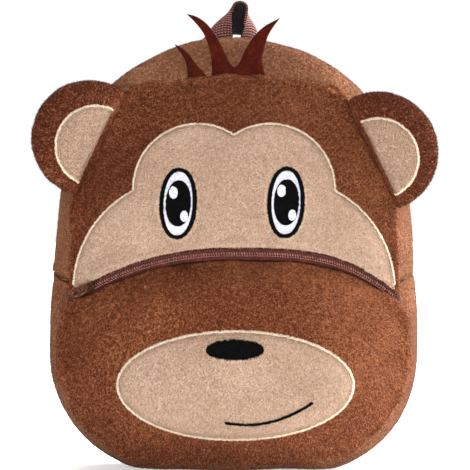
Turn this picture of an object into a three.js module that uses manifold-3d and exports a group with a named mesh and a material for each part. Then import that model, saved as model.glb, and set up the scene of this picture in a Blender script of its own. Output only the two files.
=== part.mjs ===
// Plush monkey backpack for a toddler, in millimetres with +Z up. The face looks along -Y.
// The origin is the middle of the flat bottom that the bag stands on.
import * as THREE from "three";
import { mergeVertices } from "three/addons/utils/BufferGeometryUtils.js";
import Module from "manifold-3d";

const { clamp, lerp, degToRad, radToDeg } = THREE.MathUtils;
const wasm = await Module();
wasm.setup();

// Cloth, and the clearance between pieces that are sewn together
const wall = 2.5;
const seamGap = 0.4;
const patchThickness = 1.2;
const stitchThickness = 0.8;
const feltThickness = 1.8;
const webbingThickness = 1.6;

// Depth of the seams that join the gusset to the front and to the back
const frontSeamY = { bottom: -34, top: -24 };
const backSeamY = 38;

// Half outlines seen from the front, right half, from the bottom centre to the top centre
const frontSeamCorners = [
  { x: 0, z: 7, radius: 0 },
  { x: 103.5, z: 7, radius: 64 },
  { x: 104.5, z: 88, radius: 14 },
  { x: 98, z: 104, radius: 10 },
  { x: 96.7, z: 164.4, radius: 60 },
  { x: 63.5, z: 231, radius: 16 },
  { x: 0, z: 237.7, radius: 0 },
];
const widestCorners = [
  { x: 0, z: -3, radius: 0 },
  { x: 112.8, z: -3, radius: 72 },
  { x: 112.2, z: 98, radius: 40 },
  { x: 97.3, z: 263, radius: 104.5 },
  { x: 0, z: 263, radius: 0 },
];
const backSeamCorners = [
  { x: 0, z: 5, radius: 0 },
  { x: 107.5, z: 5, radius: 67 },
  { x: 106.5, z: 98, radius: 40 },
  { x: 91.5, z: 257.5, radius: 100 },
  { x: 0, z: 257.5, radius: 0 },
];

// Heights on the front seam where the sewn edges meet it, and the steps between them
const bottomCornerZ = 25;
const zipEndLowZ = 100;
const zipEndHighZ = 107;
const gussetSeamZ = 112;
const topCornerZ = 229;
const seamSteps = { bottom: 8, pocketSide: 8, faceSide: 8, top: 8 };

// Front pocket zip: an arch that climbs from the side seams to the middle
const zipMidZ = 131;
const zipHalfHeight = 4;
const zipArchPower = { left: 2.2, right: 3.2 };
const zipRecess = { depth: 1, power: 6 };

// How far the face and the pocket swell out from the front seam, and how square each swell is
const faceCrown = 22;
const crownPower = 2.4;
const crownFloorPower = 7;
const pocketPuff = 18;
const puffPower = { across: 4, height: 3, rise: 0.85 };
const backPillow = 5;

// Rear wall of the pocket: how far it is tucked in from the front seam, and how high it overlaps the face
const divider = { tuck: 3, thickness: 1.5, behind: 3.2, overlap: 3 };

// Main zip, as a share of the way from the front seam to the back seam
const mainZip = { from: 0.7, to: 0.79 };
const gussetSteps = { front: 6, back: 2, lower: 8 };

// Beige face patch: two brow circles above two cheek circles, mirrored about the middle
const browCircle = { x: 22, z: 168.5, radius: 38.5 };
const cheekCircle = { x: 36, z: 111, radius: 58.5 };
const browEnd = 9;
const cheekAngles = { from: 64.5, to: 3 };
const facePatchSteps = { brow: 8, cheek: 6, rows: 5 };

// Embroidery on the face and the pocket, as ovals with half sizes and a tilt in degrees
const eyes = [
  { name: "eye_left", x: -32.8, z: 160.4, halfWidth: 11.1, halfHeight: 21.1, tilt: -2.4 },
  { name: "eye_right", x: 30.5, z: 161, halfWidth: 11.1, halfHeight: 21.1, tilt: -2.4 },
];
const muzzle = { x: 0.8, z: 54.8, halfWidth: 69, halfHeight: 32.6 };
const nose = { x: 0.6, z: 75.6, halfWidth: 16.6, halfHeight: 5.8 };
const mouth = { fromX: -5.2, toX: 43.5, lowX: 9, lowZ: 31.3, rise: 0.0101, halfHeight: 0.9, steps: 14 };
const ovalSteps = {
  eye: { corners: 20, rings: 2 },
  muzzle: { corners: 30, rings: 5 },
  nose: { corners: 18, rings: 2 },
};

// Stuffed ears: a disc cut by the sloping side of the front seam, in the seam's own directions
const ear = { hubOut: 12, rimHalf: 2.6, crownHalf: 8, forward: 4.4, baseRamp: 14 };
const earSteps = { arc: 18, base: 8, rings: 4 };
const ears = [
  { side: 1, suffix: "right", radius: 35.4, reach: 2.4, alongSeam: 29 },
  { side: -1, suffix: "left", radius: 34.2, reach: 6.2, alongSeam: 36.2 },
];
const earPatch = { radius: 24, dropAlong: 2.4, base: 1.2 };
const earPatchSteps = { arc: 14, base: 6, rings: 3 };

// Felt hair in the front view: where it leaves the top seam, and the tips and hollows of its curved edges
const hairTufts = [
  {
    name: "hair_tuft_main",
    fromX: -12.5,
    toX: 19,
    edges: [
      { bendX: 16.5, bendZ: 255, x: 26.9, z: 270.8 },
      { bendX: 6.5, bendZ: 263, x: 0.8, z: 242.8 },
      { bendX: -12.5, bendZ: 268, x: -28, z: 273.8 },
    ],
    lastBend: { x: -12.5, z: 263 },
  },
  {
    name: "hair_tuft_small",
    fromX: -27.5,
    toX: -17.3,
    edges: [{ bendX: -22, bendZ: 250, x: -35.2, z: 255.9 }],
    lastBend: { x: -28.5, z: 248 },
  },
];
const hairCurveSteps = 7;

// Carry loop: the edges of the webbing, back from the line where it is sewn down. No height means sewn down
const carryLoopWay = 0.88;
const carryLoopSteps = { along: 20, across: 2 };
const carryLoopFront = [
  { x: -1.6, back: 0 },
  { x: -1.8, back: -3, z: 274 },
  { x: -0.6, back: -5, z: 285 },
  { x: 3.4, back: -6, z: 287 },
  { x: 8, back: -5, z: 285 },
  { x: 7.4, back: -3, z: 274 },
  { x: 5, back: 0 },
];
const carryLoopBack = [
  { x: -23, back: 1 },
  { x: -21.6, back: 4, z: 261 },
  { x: -17, back: 9, z: 265.5 },
  { x: -1, back: 13, z: 270 },
  { x: 13.4, back: 9, z: 266 },
  { x: 17.4, back: 4, z: 261.4 },
  { x: 18.5, back: 1 },
];

// Shoulder straps, for the right side: the middle line of the pad and of the webbing below it. No depth means
// that the point lies on the back
const strapPad = { width: 32, thickness: 7, edge: 2.6, crownPower: 0.6, along: 16, across: 4 };
const strapPadLine = [
  { x: 24, z: 243 },
  { x: 25.5, z: 229 },
  { x: 32, y: 59, z: 207 },
  { x: 43, y: 67, z: 168 },
  { x: 53, y: 66, z: 130 },
  { x: 61, y: 60, z: 100 },
];
const strapWebbing = { width: 20, straight: 12, along: 12 };
const strapWebbingLine = [
  { x: 69, y: 47, z: 50 },
  { x: 71, z: 34 },
  { x: 72, z: 26 },
];
const adjuster = { width: 30, height: 16, thickness: 2.6, rail: 3, gap: 0.5 };

// Zip slider and its pull, along the zip
const slider = { length: 9, halfWidth: 2.7, tailHalf: 1.84, shoulder: 0.9, height: 2.4, lift: 0.7 };
const bridge = { width: 2.2, half: 2.9, rise: 3.5, corner: 0.9, post: 1, sunk: 0.5 };
const bridgeSlot = { low: 0.35, high: 0.8 };
const pull = { length: 12.5, halfWidth: 2.9, neckHalf: 2.6, bendAt: 10, thickness: 1.2 };
const pullSlot = { barHalf: 0.65, half: 1.65, end: 3.9 };
const pullEye = { at: 7.75, halfLength: 2, halfWidth: 0.9 };
const smallCurveSteps = { slider: 4, pull: 5 };
const frontSliderAt = -0.87;
const mainSliderAt = 0.012;
const mainSliderFlat = { height: 0.6, pullShift: 4, pullHeight: 1.8 };
const pullDrop = 0.2;
const pullRestTilt = 9;

const plushBrown = cloth(0x764530);
const plushBeige = cloth(0xd2b59d);
const feltBrown = cloth(0x4b180e);
const webbingBrown = cloth(0x75443d);
const zipMaroon = cloth(0x5f3329);
const threadBlack = cloth(0x131211);
const lining = cloth(0x5a3826);
const paintedMetal = new THREE.MeshStandardMaterial({ color: 0x5b3a2c, roughness: 0.45, metalness: 0.6 });
const darkPlastic = new THREE.MeshStandardMaterial({ color: 0x2a1c18, roughness: 0.5, metalness: 0 });

const group = new THREE.Group();

function cloth(color) {
  return new THREE.MeshStandardMaterial({ color, roughness: 0.95, metalness: 0 });
}

function addPart(name, geometry, material) {
  const mesh = new THREE.Mesh(geometry, material);
  mesh.name = name;
  group.add(mesh);
  return mesh;
}

// Solids from points

// A closed solid with its faces turned outward
function solidGeometry(points, index) {
  let volume = 0;
  for (let i = 0; i < index.length; i += 3) {
    const [a, b, c] = [points[index[i]], points[index[i + 1]], points[index[i + 2]]];
    volume += a.dot(new THREE.Vector3().crossVectors(b, c));
  }
  const geometry = new THREE.BufferGeometry().setFromPoints(points);
  geometry.setIndex(volume > 0 ? index : index.reverse());
  geometry.computeVertexNormals();
  return geometry;
}

// Two matching grids of points, joined round their rim
function sheetGeometry(outer, inner) {
  const lastRow = outer.length - 1;
  const columnCount = outer[0].length;
  const lastColumn = columnCount - 1;
  const points = [...outer.flat(), ...inner.flat()];
  const half = points.length / 2;
  const index = [];
  const quad = (a, b, c, d) => index.push(a, b, c, a, c, d);
  for (let row = 0; row < lastRow; row += 1) {
    for (let column = 0; column < lastColumn; column += 1) {
      const a = row * columnCount + column;
      const d = a + columnCount;
      quad(a, a + 1, d + 1, d);
      quad(half + a, half + d, half + d + 1, half + a + 1);
    }
  }
  const rim = (a, b) => quad(b, a, half + a, half + b);
  const matchingRim = (a, b) => quad(a, half + a, half + b, b);
  for (let column = 0; column < lastColumn; column += 1) {
    rim(column, column + 1);
    matchingRim(lastRow * columnCount + column + 1, lastRow * columnCount + column);
  }
  for (let row = 0; row < lastRow; row += 1) {
    rim((row + 1) * columnCount, row * columnCount);
    rim(row * columnCount + lastColumn, (row + 1) * columnCount + lastColumn);
  }
  return solidGeometry(points, index);
}

// Rings that shrink from an outline to its centre, on a front and a back surface
function discGeometry(outline, centre, ringCount, front, back) {
  const count = outline.length;
  const points = [];
  const index = [];
  for (const surface of [front, back]) {
    for (let ring = 0; ring < ringCount; ring += 1) {
      outline.forEach((corner) => points.push(surface(corner.clone().lerp(centre, ring / ringCount))));
    }
    points.push(surface(centre));
  }
  const half = points.length / 2;
  for (const [start, turn] of [[0, false], [half, true]]) {
    const face = (a, b, c) => index.push(...(turn ? [a, c, b] : [a, b, c]));
    for (let i = 0; i < count; i += 1) {
      const j = (i + 1) % count;
      for (let ring = 0; ring + 1 < ringCount; ring += 1) {
        const [near, far] = [start + ring * count, start + (ring + 1) * count];
        face(near + i, near + j, far + j);
        face(near + i, far + j, far + i);
      }
      const last = start + (ringCount - 1) * count;
      face(last + i, last + j, start + ringCount * count);
    }
  }
  for (let i = 0; i < count; i += 1) {
    const j = (i + 1) % count;
    index.push(j, i, half + i, j, half + i, half + j);
  }
  return solidGeometry(points, index);
}

function asManifold(geometry) {
  const bare = geometry.clone();
  bare.deleteAttribute("normal");
  bare.deleteAttribute("uv");
  const merged = mergeVertices(bare, 1e-4);
  const vertProperties = new Float32Array(merged.attributes.position.array);
  const triVerts = new Uint32Array(merged.index.array);
  return new wasm.Manifold(new wasm.Mesh({ numProp: 3, vertProperties, triVerts }));
}

function joined(...geometries) {
  const whole = geometries.map(asManifold).reduce((sum, next) => sum.add(next));
  const mesh = whole.getMesh();
  const geometry = new THREE.BufferGeometry();
  geometry.setAttribute("position", new THREE.BufferAttribute(mesh.vertProperties, 3));
  geometry.setIndex(new THREE.BufferAttribute(mesh.triVerts, 1));
  geometry.computeVertexNormals();
  return geometry;
}

// Outlines of the bag

// Straight runs with rounded corners; points on it are spaced by their share of the whole length
function roundedPath(corners) {
  const path = new THREE.Path();
  const spots = corners.map(({ x, z }) => new THREE.Vector2(x, z));
  path.moveTo(spots[0].x, spots[0].y);
  for (let i = 1; i + 1 < corners.length; i += 1) {
    const back = spots[i - 1].clone().sub(spots[i]).normalize();
    const ahead = spots[i + 1].clone().sub(spots[i]).normalize();
    const halfAngle = Math.acos(back.dot(ahead)) / 2;
    const radius = corners[i].radius;
    const towards = back.clone().add(ahead).normalize();
    const middle = spots[i].clone().addScaledVector(towards, radius / Math.sin(halfAngle));
    const tangent = radius / Math.tan(halfAngle);
    const start = spots[i].clone().addScaledVector(back, tangent).sub(middle);
    const end = spots[i].clone().addScaledVector(ahead, tangent).sub(middle);
    const clockwise = start.cross(end) < 0;
    path.lineTo(middle.x + start.x, middle.y + start.y);
    path.absarc(middle.x, middle.y, radius, start.angle(), end.angle(), clockwise);
  }
  path.lineTo(spots.at(-1).x, spots.at(-1).y);
  return path;
}

const frontSeam = roundedPath(frontSeamCorners);
const widest = roundedPath(widestCorners);
const backSeam = roundedPath(backSeamCorners);

// Share of the front seam's length at a height
function shareAtHeight(z) {
  let [low, high] = [0, 1];
  for (let i = 0; i < 40; i += 1) {
    const middle = (low + high) / 2;
    if (frontSeam.getPoint(middle).y < z) {
      low = middle;
    } else {
      high = middle;
    }
  }
  return (low + high) / 2;
}

// A station is a share of the half outline with its side, so that both halves match
function stations(fromShare, toShare, steps, side = 1) {
  const list = [];
  for (let i = 0; i <= steps; i += 1) {
    list.push({ share: lerp(fromShare, toShare, i / steps), side });
  }
  return list;
}

// The way down the right side is walked back up, so a run from left to right passes the middle once
function leftToRight(halfRun) {
  const left = halfRun.map(({ share }) => ({ share, side: -1 }));
  return [...left.slice(1).reverse(), ...halfRun];
}

function outlineAt(path, { share, side }) {
  const spot = path.getPoint(clamp(share, 0, 1));
  return new THREE.Vector2(side * spot.x, spot.y);
}

// Direction out of the outline, in the front view
function outwardAt(path, { share, side }) {
  const step = 1e-3;
  const before = path.getPoint(Math.max(0, share - step));
  const after = path.getPoint(Math.min(1, share + step));
  const along = after.sub(before).normalize();
  return share === 0 || share === 1
    ? new THREE.Vector2(0, share === 0 ? -1 : 1)
    : new THREE.Vector2(side * along.y, -along.x);
}

const shares = {
  bottomCorner: shareAtHeight(bottomCornerZ),
  zipLow: shareAtHeight(zipEndLowZ),
  zipHigh: shareAtHeight(zipEndHighZ),
  gussetSeam: shareAtHeight(gussetSeamZ),
  topCorner: shareAtHeight(topCornerZ),
};
const bottomRun = stations(0, shares.bottomCorner, seamSteps.bottom);
const pocketSideRun = stations(shares.bottomCorner, shares.zipLow, seamSteps.pocketSide);
const zipRun = stations(shares.zipLow, shares.zipHigh, 1);
const slipRun = stations(shares.zipHigh, shares.gussetSeam, 1);
const faceSideRun = stations(shares.gussetSeam, shares.topCorner, seamSteps.faceSide);
const topRun = stations(shares.topCorner, 1, seamSteps.top);
const chainRuns = (...runs) => runs.flatMap((run, i) => (i ? run.slice(1) : run));
const onSide = (run, side) => run.map(({ share }) => ({ share, side }));

// Surfaces of the front

function seamY(z) {
  return lerp(frontSeamY.bottom, frontSeamY.top, z / frontSeamCorners.at(-1).z);
}

function halfWidthAt(z) {
  return frontSeam.getPoint(shareAtHeight(z)).x;
}

const acrossAt = (x, z) => Math.min(1, Math.abs(x) / halfWidthAt(z));
const bottomZ = frontSeamCorners[0].z;
const topZ = frontSeamCorners.at(-1).z;

// Edge of the zip, level at the middle and falling to the end point
function zipEdge(end, middleZ) {
  return (ratio) => {
    const power = ratio < 0 ? zipArchPower.left : zipArchPower.right;
    const z = end.y + (middleZ - end.y) * (1 - Math.abs(ratio) ** power);
    return new THREE.Vector2(ratio * end.x, z);
  };
}

const zipUpper = zipEdge(frontSeam.getPoint(shares.zipHigh), zipMidZ + zipHalfHeight);
const zipLower = zipEdge(frontSeam.getPoint(shares.zipLow), zipMidZ - zipHalfHeight);

function faceY(x, z) {
  const up = clamp((z - zipMidZ) / (topZ - zipMidZ), 0, 1);
  const swell = faceCrown * (1 - acrossAt(x, z) ** crownPower) * (1 - up ** crownPower);
  return seamY(z) - seamGap - swell;
}

function pocketY(x, z) {
  const lip = zipLower(clamp(x / frontSeam.getPoint(shares.zipLow).x, -1, 1)).y;
  const down = clamp((lip - z) / (lip - bottomZ), 0, 1);
  const across = acrossAt(x, z);
  const crown = faceCrown * (1 - across ** crownPower) * (1 - down ** crownFloorPower);
  const fromMiddle = Math.abs(2 * down ** puffPower.rise - 1);
  const puff = pocketPuff * (1 - across ** puffPower.across) * (1 - fromMiddle ** puffPower.height);
  return seamY(z) - seamGap - crown - puff;
}

function backY(x, z) {
  const across = Math.min(1, Math.abs(x) / backSeamCorners[2].x);
  const height = (2 * z) / backSeamCorners.at(-1).z - 1;
  return backSeamY + seamGap + backPillow * (1 - across ** 2) * (1 - height ** 2);
}

// Grid between four edges of matching counts, from the bottom row to the top row
function grid(bottom, top, left, right) {
  return left.map((leftSpot, row) => {
    const up = row / (left.length - 1);
    return bottom.map((bottomSpot, column) => {
      const over = column / (bottom.length - 1);
      const spot = bottomSpot.clone().lerp(top[column], up);
      spot.addScaledVector(leftSpot, 1 - over).addScaledVector(right[row], over);
      const bottomCorner = bottom[0].clone().lerp(bottom.at(-1), over);
      const topCorner = top[0].clone().lerp(top.at(-1), over);
      return spot.sub(bottomCorner.lerp(topCorner, up));
    });
  });
}

// A panel in the front view: its outside follows a surface, and its sewn rim is mitred to meet the gusset
function panelGeometry(spots, path, surfaceY, edges, depth, inset) {
  const lastRow = spots.length - 1;
  const outer = [];
  const inner = [];
  spots.forEach((row, r) => {
    const lastColumn = row.length - 1;
    const outerRow = [];
    const innerRow = [];
    row.forEach((spot, c) => {
      const station =
        (r === 0 && edges.bottom?.[c]) ||
        (r === lastRow && edges.top?.[c]) ||
        (c === 0 && edges.left[r]) ||
        (c === lastColumn && edges.right[r]);
      const y = station ? edges.y(spot.y) : surfaceY(spot.x, spot.y);
      const lean = station ? outwardAt(path, station).multiplyScalar(-inset) : new THREE.Vector2();
      outerRow.push(new THREE.Vector3(spot.x, y, spot.y));
      innerRow.push(new THREE.Vector3(spot.x + lean.x, y + depth, spot.y + lean.y));
    });
    outer.push(outerRow);
    inner.push(innerRow);
  });
  return sheetGeometry(outer, inner);
}

const ratios = (count) => Array.from({ length: count + 1 }, (_, i) => (2 * i) / count - 1);
const frontEdgeY = (z) => seamY(z) - seamGap;

function facePanel() {
  const sides = chainRuns(slipRun, faceSideRun);
  const [left, right] = [onSide(sides, -1), sides];
  const top = leftToRight([...topRun].reverse());
  const bottom = ratios(2 * seamSteps.top).map(zipUpper);
  const spots = grid(
    bottom,
    top.map((station) => outlineAt(frontSeam, station)),
    left.map((station) => outlineAt(frontSeam, station)),
    right.map((station) => outlineAt(frontSeam, station)),
  );
  const edges = { top, left, right, y: frontEdgeY };
  return panelGeometry(spots, frontSeam, faceY, edges, wall, wall);
}

function pocketPanel() {
  const [left, right] = [onSide(pocketSideRun, -1), pocketSideRun];
  const bottom = leftToRight(bottomRun);
  const top = ratios(2 * seamSteps.bottom).map(zipLower);
  const spots = grid(
    bottom.map((station) => outlineAt(frontSeam, station)),
    top,
    left.map((station) => outlineAt(frontSeam, station)),
    right.map((station) => outlineAt(frontSeam, station)),
  );
  const edges = { bottom, left, right, y: frontEdgeY };
  return panelGeometry(spots, frontSeam, pocketY, edges, wall, wall);
}

function zipStripY(ratio, x, z) {
  return faceY(x, z) + zipRecess.depth * (1 - Math.abs(ratio) ** zipRecess.power);
}

function frontZipper() {
  const columns = ratios(2 * seamSteps.top);
  const outer = [];
  const inner = [];
  for (const up of [0, 0.5, 1]) {
    const spots = columns.map((ratio) => {
      const [low, high] = [zipLower(ratio), zipUpper(ratio)];
      const tuck = seamGap * (1 - 2 * up);
      return low.lerp(high, up).add(new THREE.Vector2(0, tuck));
    });
    const outerRow = spots.map(({ x, y: z }, i) => new THREE.Vector3(x, zipStripY(columns[i], x, z), z));
    const innerRow = outerRow.map((spot, i) => {
      const station = { share: lerp(shares.zipLow, shares.zipHigh, up), side: Math.sign(columns[i]) };
      const inset = Math.abs(columns[i]) === 1 ? -wall : 0;
      const lean = outwardAt(frontSeam, station).multiplyScalar(inset);
      return spot.clone().add(new THREE.Vector3(lean.x, wall, lean.y));
    });
    outer.push(outerRow);
    inner.push(innerRow);
  }
  return sheetGeometry(outer, inner);
}

// Rear wall of the pocket, tucked inside the front seam and behind the lower edge of the face
function pocketDivider() {
  const insetSpot = (station) => {
    const spot = outlineAt(frontSeam, station).addScaledVector(outwardAt(frontSeam, station), -divider.tuck);
    return new THREE.Vector3(spot.x, seamY(spot.y) + divider.behind, spot.y);
  };
  const side = chainRuns(pocketSideRun, zipRun);
  const bottom = leftToRight(bottomRun).map(insetSpot);
  const left = onSide(side, -1).map(insetSpot);
  const right = side.map(insetSpot);
  const archEnd = new THREE.Vector2(right.at(-1).x, right.at(-1).z);
  const arch = zipEdge(archEnd, zipMidZ + zipHalfHeight + divider.overlap);
  const top = ratios(2 * seamSteps.bottom).map((ratio) => {
    const { x, y: z } = arch(ratio);
    const swell = faceCrown * (1 - Math.abs(ratio) ** crownPower);
    return new THREE.Vector3(x, seamY(z) + divider.behind - swell, z);
  });
  const outer = grid(bottom, top, left, right);
  const inner = outer.map((row) => row.map((spot) => spot.clone().setY(spot.y + divider.thickness)));
  return sheetGeometry(outer, inner);
}

// Gusset: swells from the front seam to the widest outline and back, flat where the bag stands
function gussetPoint(station, way) {
  const swell = Math.sin(Math.PI * way);
  const edge = outlineAt(way < 0.5 ? frontSeam : backSeam, station);
  const spot = edge.clone().lerp(outlineAt(widest, station), swell);
  const y = lerp(seamY(outlineAt(frontSeam, station).y), backSeamY, way);
  return new THREE.Vector3(spot.x, y, Math.max(0, spot.y));
}

function gussetOutward(station, way) {
  const step = 4e-3;
  const shift = (change) => ({ share: clamp(station.share + change, 0, 1), side: station.side });
  const along = gussetPoint(shift(step), way).sub(gussetPoint(shift(-step), way));
  const nearBack = gussetPoint(station, Math.min(1, way + step));
  const back = nearBack.sub(gussetPoint(station, Math.max(0, way - step)));
  const outward = back.cross(along).multiplyScalar(station.side).normalize();
  if (station.share === 0 || station.share === 1) {
    outward.setX(0).normalize();
  }
  return outward;
}

function gussetInner(station, way, thickness) {
  const outside = gussetPoint(station, way);
  if (way === 0 || way === 1) {
    const lean = outwardAt(way === 0 ? frontSeam : backSeam, station).multiplyScalar(-thickness);
    return outside.add(new THREE.Vector3(lean.x, way === 0 ? thickness : -thickness, lean.y));
  }
  const inside = outside.clone().addScaledVector(gussetOutward(station, way), -thickness);
  return inside.setZ(Math.max(thickness, inside.z));
}

function gussetStrip(run, fromWay, toWay, steps, thickness) {
  const ways = Array.from({ length: steps + 1 }, (_, i) => lerp(fromWay, toWay, i / steps));
  const outer = ways.map((way) => run.map((station) => gussetPoint(station, way)));
  const inner = ways.map((way) => run.map((station) => gussetInner(station, way, thickness)));
  return sheetGeometry(outer, inner);
}

// Small shares of the two directions that leave the sewing gap
const gapShare = seamGap / 2 / frontSeam.getLength();
const gapWay = seamGap / (backSeamY - frontSeamY.top);

function trimEnd(run, change) {
  const list = run.map((station) => ({ ...station }));
  list[change > 0 ? 0 : list.length - 1].share += change;
  return list;
}

function gusset() {
  const upperHalf = trimEnd(chainRuns(faceSideRun, topRun), gapShare);
  const upper = leftToRight([...upperHalf].reverse()).reverse();
  const lowerHalf = trimEnd(chainRuns(bottomRun, pocketSideRun, zipRun, slipRun), -gapShare);
  const lower = leftToRight(lowerHalf);
  const { from, to } = mainZip;
  addPart("gusset_upper_front", gussetStrip(upper, 0, from - gapWay, gussetSteps.front, wall), plushBrown);
  addPart("main_zipper", gussetStrip(upper, from, to, 1, webbingThickness), zipMaroon);
  addPart("gusset_upper_back", gussetStrip(upper, to + gapWay, 1, gussetSteps.back, wall), plushBrown);
  addPart("gusset_lower", gussetStrip(lower, 0, 1, gussetSteps.lower, wall), plushBrown);
}

function backPanel() {
  const right = chainRuns(pocketSideRun, zipRun, slipRun, faceSideRun);
  const left = onSide(right, -1);
  const bottom = leftToRight(bottomRun);
  const top = leftToRight([...topRun].reverse());
  const spots = grid(
    bottom.map((station) => outlineAt(backSeam, station)),
    top.map((station) => outlineAt(backSeam, station)),
    left.map((station) => outlineAt(backSeam, station)),
    right.map((station) => outlineAt(backSeam, station)),
  );
  const edges = { bottom, top, left, right, y: () => backSeamY + seamGap };
  return panelGeometry(spots, backSeam, backY, edges, -wall, wall);
}

// Patches and embroidery lie on a surface, lifted clear of what is under them
const onSurface = (surfaceY, lift) => ({ x, y: z }) => new THREE.Vector3(x, surfaceY(x, z) - lift, z);
const faceLift = seamGap + patchThickness;
const stitchLift = faceLift + seamGap;

function facePatch() {
  const { brow, cheek, rows } = facePatchSteps;
  const circlePoint = ({ x, z, radius }, degrees) => {
    const angle = degToRad(degrees);
    return new THREE.Vector2(x + radius * Math.cos(angle), z + radius * Math.sin(angle));
  };
  const middleAngle = radToDeg(Math.acos(-browCircle.x / browCircle.radius));
  const half = [];
  for (let i = 0; i <= brow; i += 1) {
    half.push(circlePoint(browCircle, lerp(middleAngle, browEnd, i / brow)));
  }
  for (let i = 0; i <= cheek; i += 1) {
    half.push(circlePoint(cheekCircle, lerp(cheekAngles.from, cheekAngles.to, i / cheek)));
  }
  const left = half.slice(1).map(({ x, y }) => new THREE.Vector2(-x, y)).reverse();
  const upper = [...left, ...half];
  const lower = upper.map(({ x }) => {
    const { y } = zipUpper(x / frontSeam.getPoint(shares.zipHigh).x);
    return new THREE.Vector2(x, y + 2 * seamGap);
  });
  const sheetAt = (lift) => Array.from({ length: rows + 1 }, (_, row) => upper.map((spot, column) => {
    return onSurface(faceY, lift)(lower[column].clone().lerp(spot, row / rows));
  }));
  return sheetGeometry(sheetAt(faceLift), sheetAt(seamGap));
}

function ovalOutline({ x, z, halfWidth, halfHeight, tilt = 0 }, count) {
  const centre = new THREE.Vector2(x, z);
  return Array.from({ length: count }, (_, i) => {
    const angle = (2 * Math.PI * i) / count;
    const spot = new THREE.Vector2(x + halfWidth * Math.cos(angle), z + halfHeight * Math.sin(angle));
    return spot.rotateAround(centre, degToRad(tilt));
  });
}

function ovalOn(surfaceY, oval, { corners, rings }, lift, thickness) {
  const centre = new THREE.Vector2(oval.x, oval.z);
  const front = onSurface(surfaceY, lift + thickness);
  const back = onSurface(surfaceY, lift);
  return discGeometry(ovalOutline(oval, corners), centre, rings, front, back);
}

function mouthBand() {
  const band = (height) => Array.from({ length: mouth.steps + 1 }, (_, i) => {
    const x = lerp(mouth.fromX, mouth.toX, i / mouth.steps);
    return new THREE.Vector2(x, mouth.lowZ + mouth.rise * (x - mouth.lowX) ** 2 + height);
  });
  const rows = [band(-mouth.halfHeight), band(mouth.halfHeight)];
  const sheetAt = (height) => rows.map((row) => row.map(onSurface(pocketY, height)));
  return sheetGeometry(sheetAt(stitchLift + stitchThickness), sheetAt(stitchLift));
}

// Ears. Along and out are the directions of the sloping seam, in the front view of the right side
const slopeStart = new THREE.Vector2(frontSeamCorners[4].x, frontSeamCorners[4].z);
const slopeEnd = new THREE.Vector2(frontSeamCorners[5].x, frontSeamCorners[5].z);
const slopeAlong = slopeEnd.clone().sub(slopeStart).normalize();
const slopeOut = new THREE.Vector2(slopeAlong.y, -slopeAlong.x);

function earHalfThickness({ radius, reach }, { x: along, y: out }) {
  const share = Math.hypot(along, out - reach) / radius;
  const fullness = Math.sqrt(Math.max(0, 1 - share ** 2)) * Math.sqrt(clamp(out / ear.baseRamp, 0, 1));
  return ear.rimHalf + (ear.crownHalf - ear.rimHalf) * fullness;
}

// Point of an ear, in front of its middle plane by depth
function earPoint({ side, alongSeam }, spot, depth) {
  const flat = slopeStart.clone().addScaledVector(slopeAlong, alongSeam + spot.x);
  flat.addScaledVector(slopeOut, spot.y);
  return new THREE.Vector3(side * flat.x, seamY(flat.y) - ear.forward - depth, flat.y);
}

// A disc cut straight along the seam, in along and out
function cutDisc(radius, centre, cutOut, steps) {
  const start = Math.asin((cutOut - centre.y) / radius);
  const outline = [];
  for (let i = 0; i <= steps.arc; i += 1) {
    const angle = lerp(start, Math.PI - start, i / steps.arc);
    const spot = new THREE.Vector2(Math.cos(angle), Math.sin(angle)).multiplyScalar(radius);
    outline.push(spot.add(centre));
  }
  for (let i = 1; i < steps.base; i += 1) {
    outline.push(outline[steps.arc].clone().lerp(outline[0], i / steps.base));
  }
  return outline;
}

function addEar(seat) {
  const body = cutDisc(seat.radius, new THREE.Vector2(0, seat.reach), seamGap, earSteps);
  const bodyHub = new THREE.Vector2(0, ear.hubOut);
  const bodyFront = (spot) => earPoint(seat, spot, earHalfThickness(seat, spot));
  const bodyBack = (spot) => earPoint(seat, spot, -earHalfThickness(seat, spot));
  const bodySolid = discGeometry(body, bodyHub, earSteps.rings, bodyFront, bodyBack);
  addPart(`ear_${seat.suffix}`, bodySolid, plushBrown);
  const patchCentre = new THREE.Vector2(-earPatch.dropAlong, 0);
  const patch = cutDisc(earPatch.radius, patchCentre, earPatch.base, earPatchSteps);
  const patchHub = new THREE.Vector2(-earPatch.dropAlong, earPatch.radius / 2);
  const patchFront = (spot) => earPoint(seat, spot, earHalfThickness(seat, spot) + faceLift);
  const patchBack = (spot) => earPoint(seat, spot, earHalfThickness(seat, spot) + seamGap);
  const patchSolid = discGeometry(patch, patchHub, earPatchSteps.rings, patchFront, patchBack);
  addPart(`ear_patch_${seat.suffix}`, patchSolid, plushBeige);
}

// Felt hair, drawn in the front view and stood in front of the top seam
function hairGeometry(shape) {
  const settings = { depth: feltThickness, bevelEnabled: false, curveSegments: hairCurveSteps };
  const geometry = new THREE.ExtrudeGeometry(shape, settings);
  geometry.rotateX(Math.PI / 2);
  return geometry.translate(0, frontSeamY.top - seamGap, 0);
}

function seamTopAt(x) {
  const { x: cornerX, z: cornerZ } = frontSeamCorners[5];
  return lerp(topZ, cornerZ, Math.abs(x) / cornerX) + seamGap;
}

// The foot follows the seam, which has its peak at the middle of the bag
function tuftShape({ fromX, toX, edges, lastBend }) {
  const shape = new THREE.Shape();
  shape.moveTo(fromX, seamTopAt(fromX));
  if (fromX < 0 && toX > 0) {
    shape.lineTo(0, seamTopAt(0));
  }
  shape.lineTo(toX, seamTopAt(toX));
  edges.forEach(({ bendX, bendZ, x, z }) => shape.quadraticCurveTo(bendX, bendZ, x, z));
  shape.quadraticCurveTo(lastBend.x, lastBend.z, fromX, seamTopAt(fromX));
  return shape;
}

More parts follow.
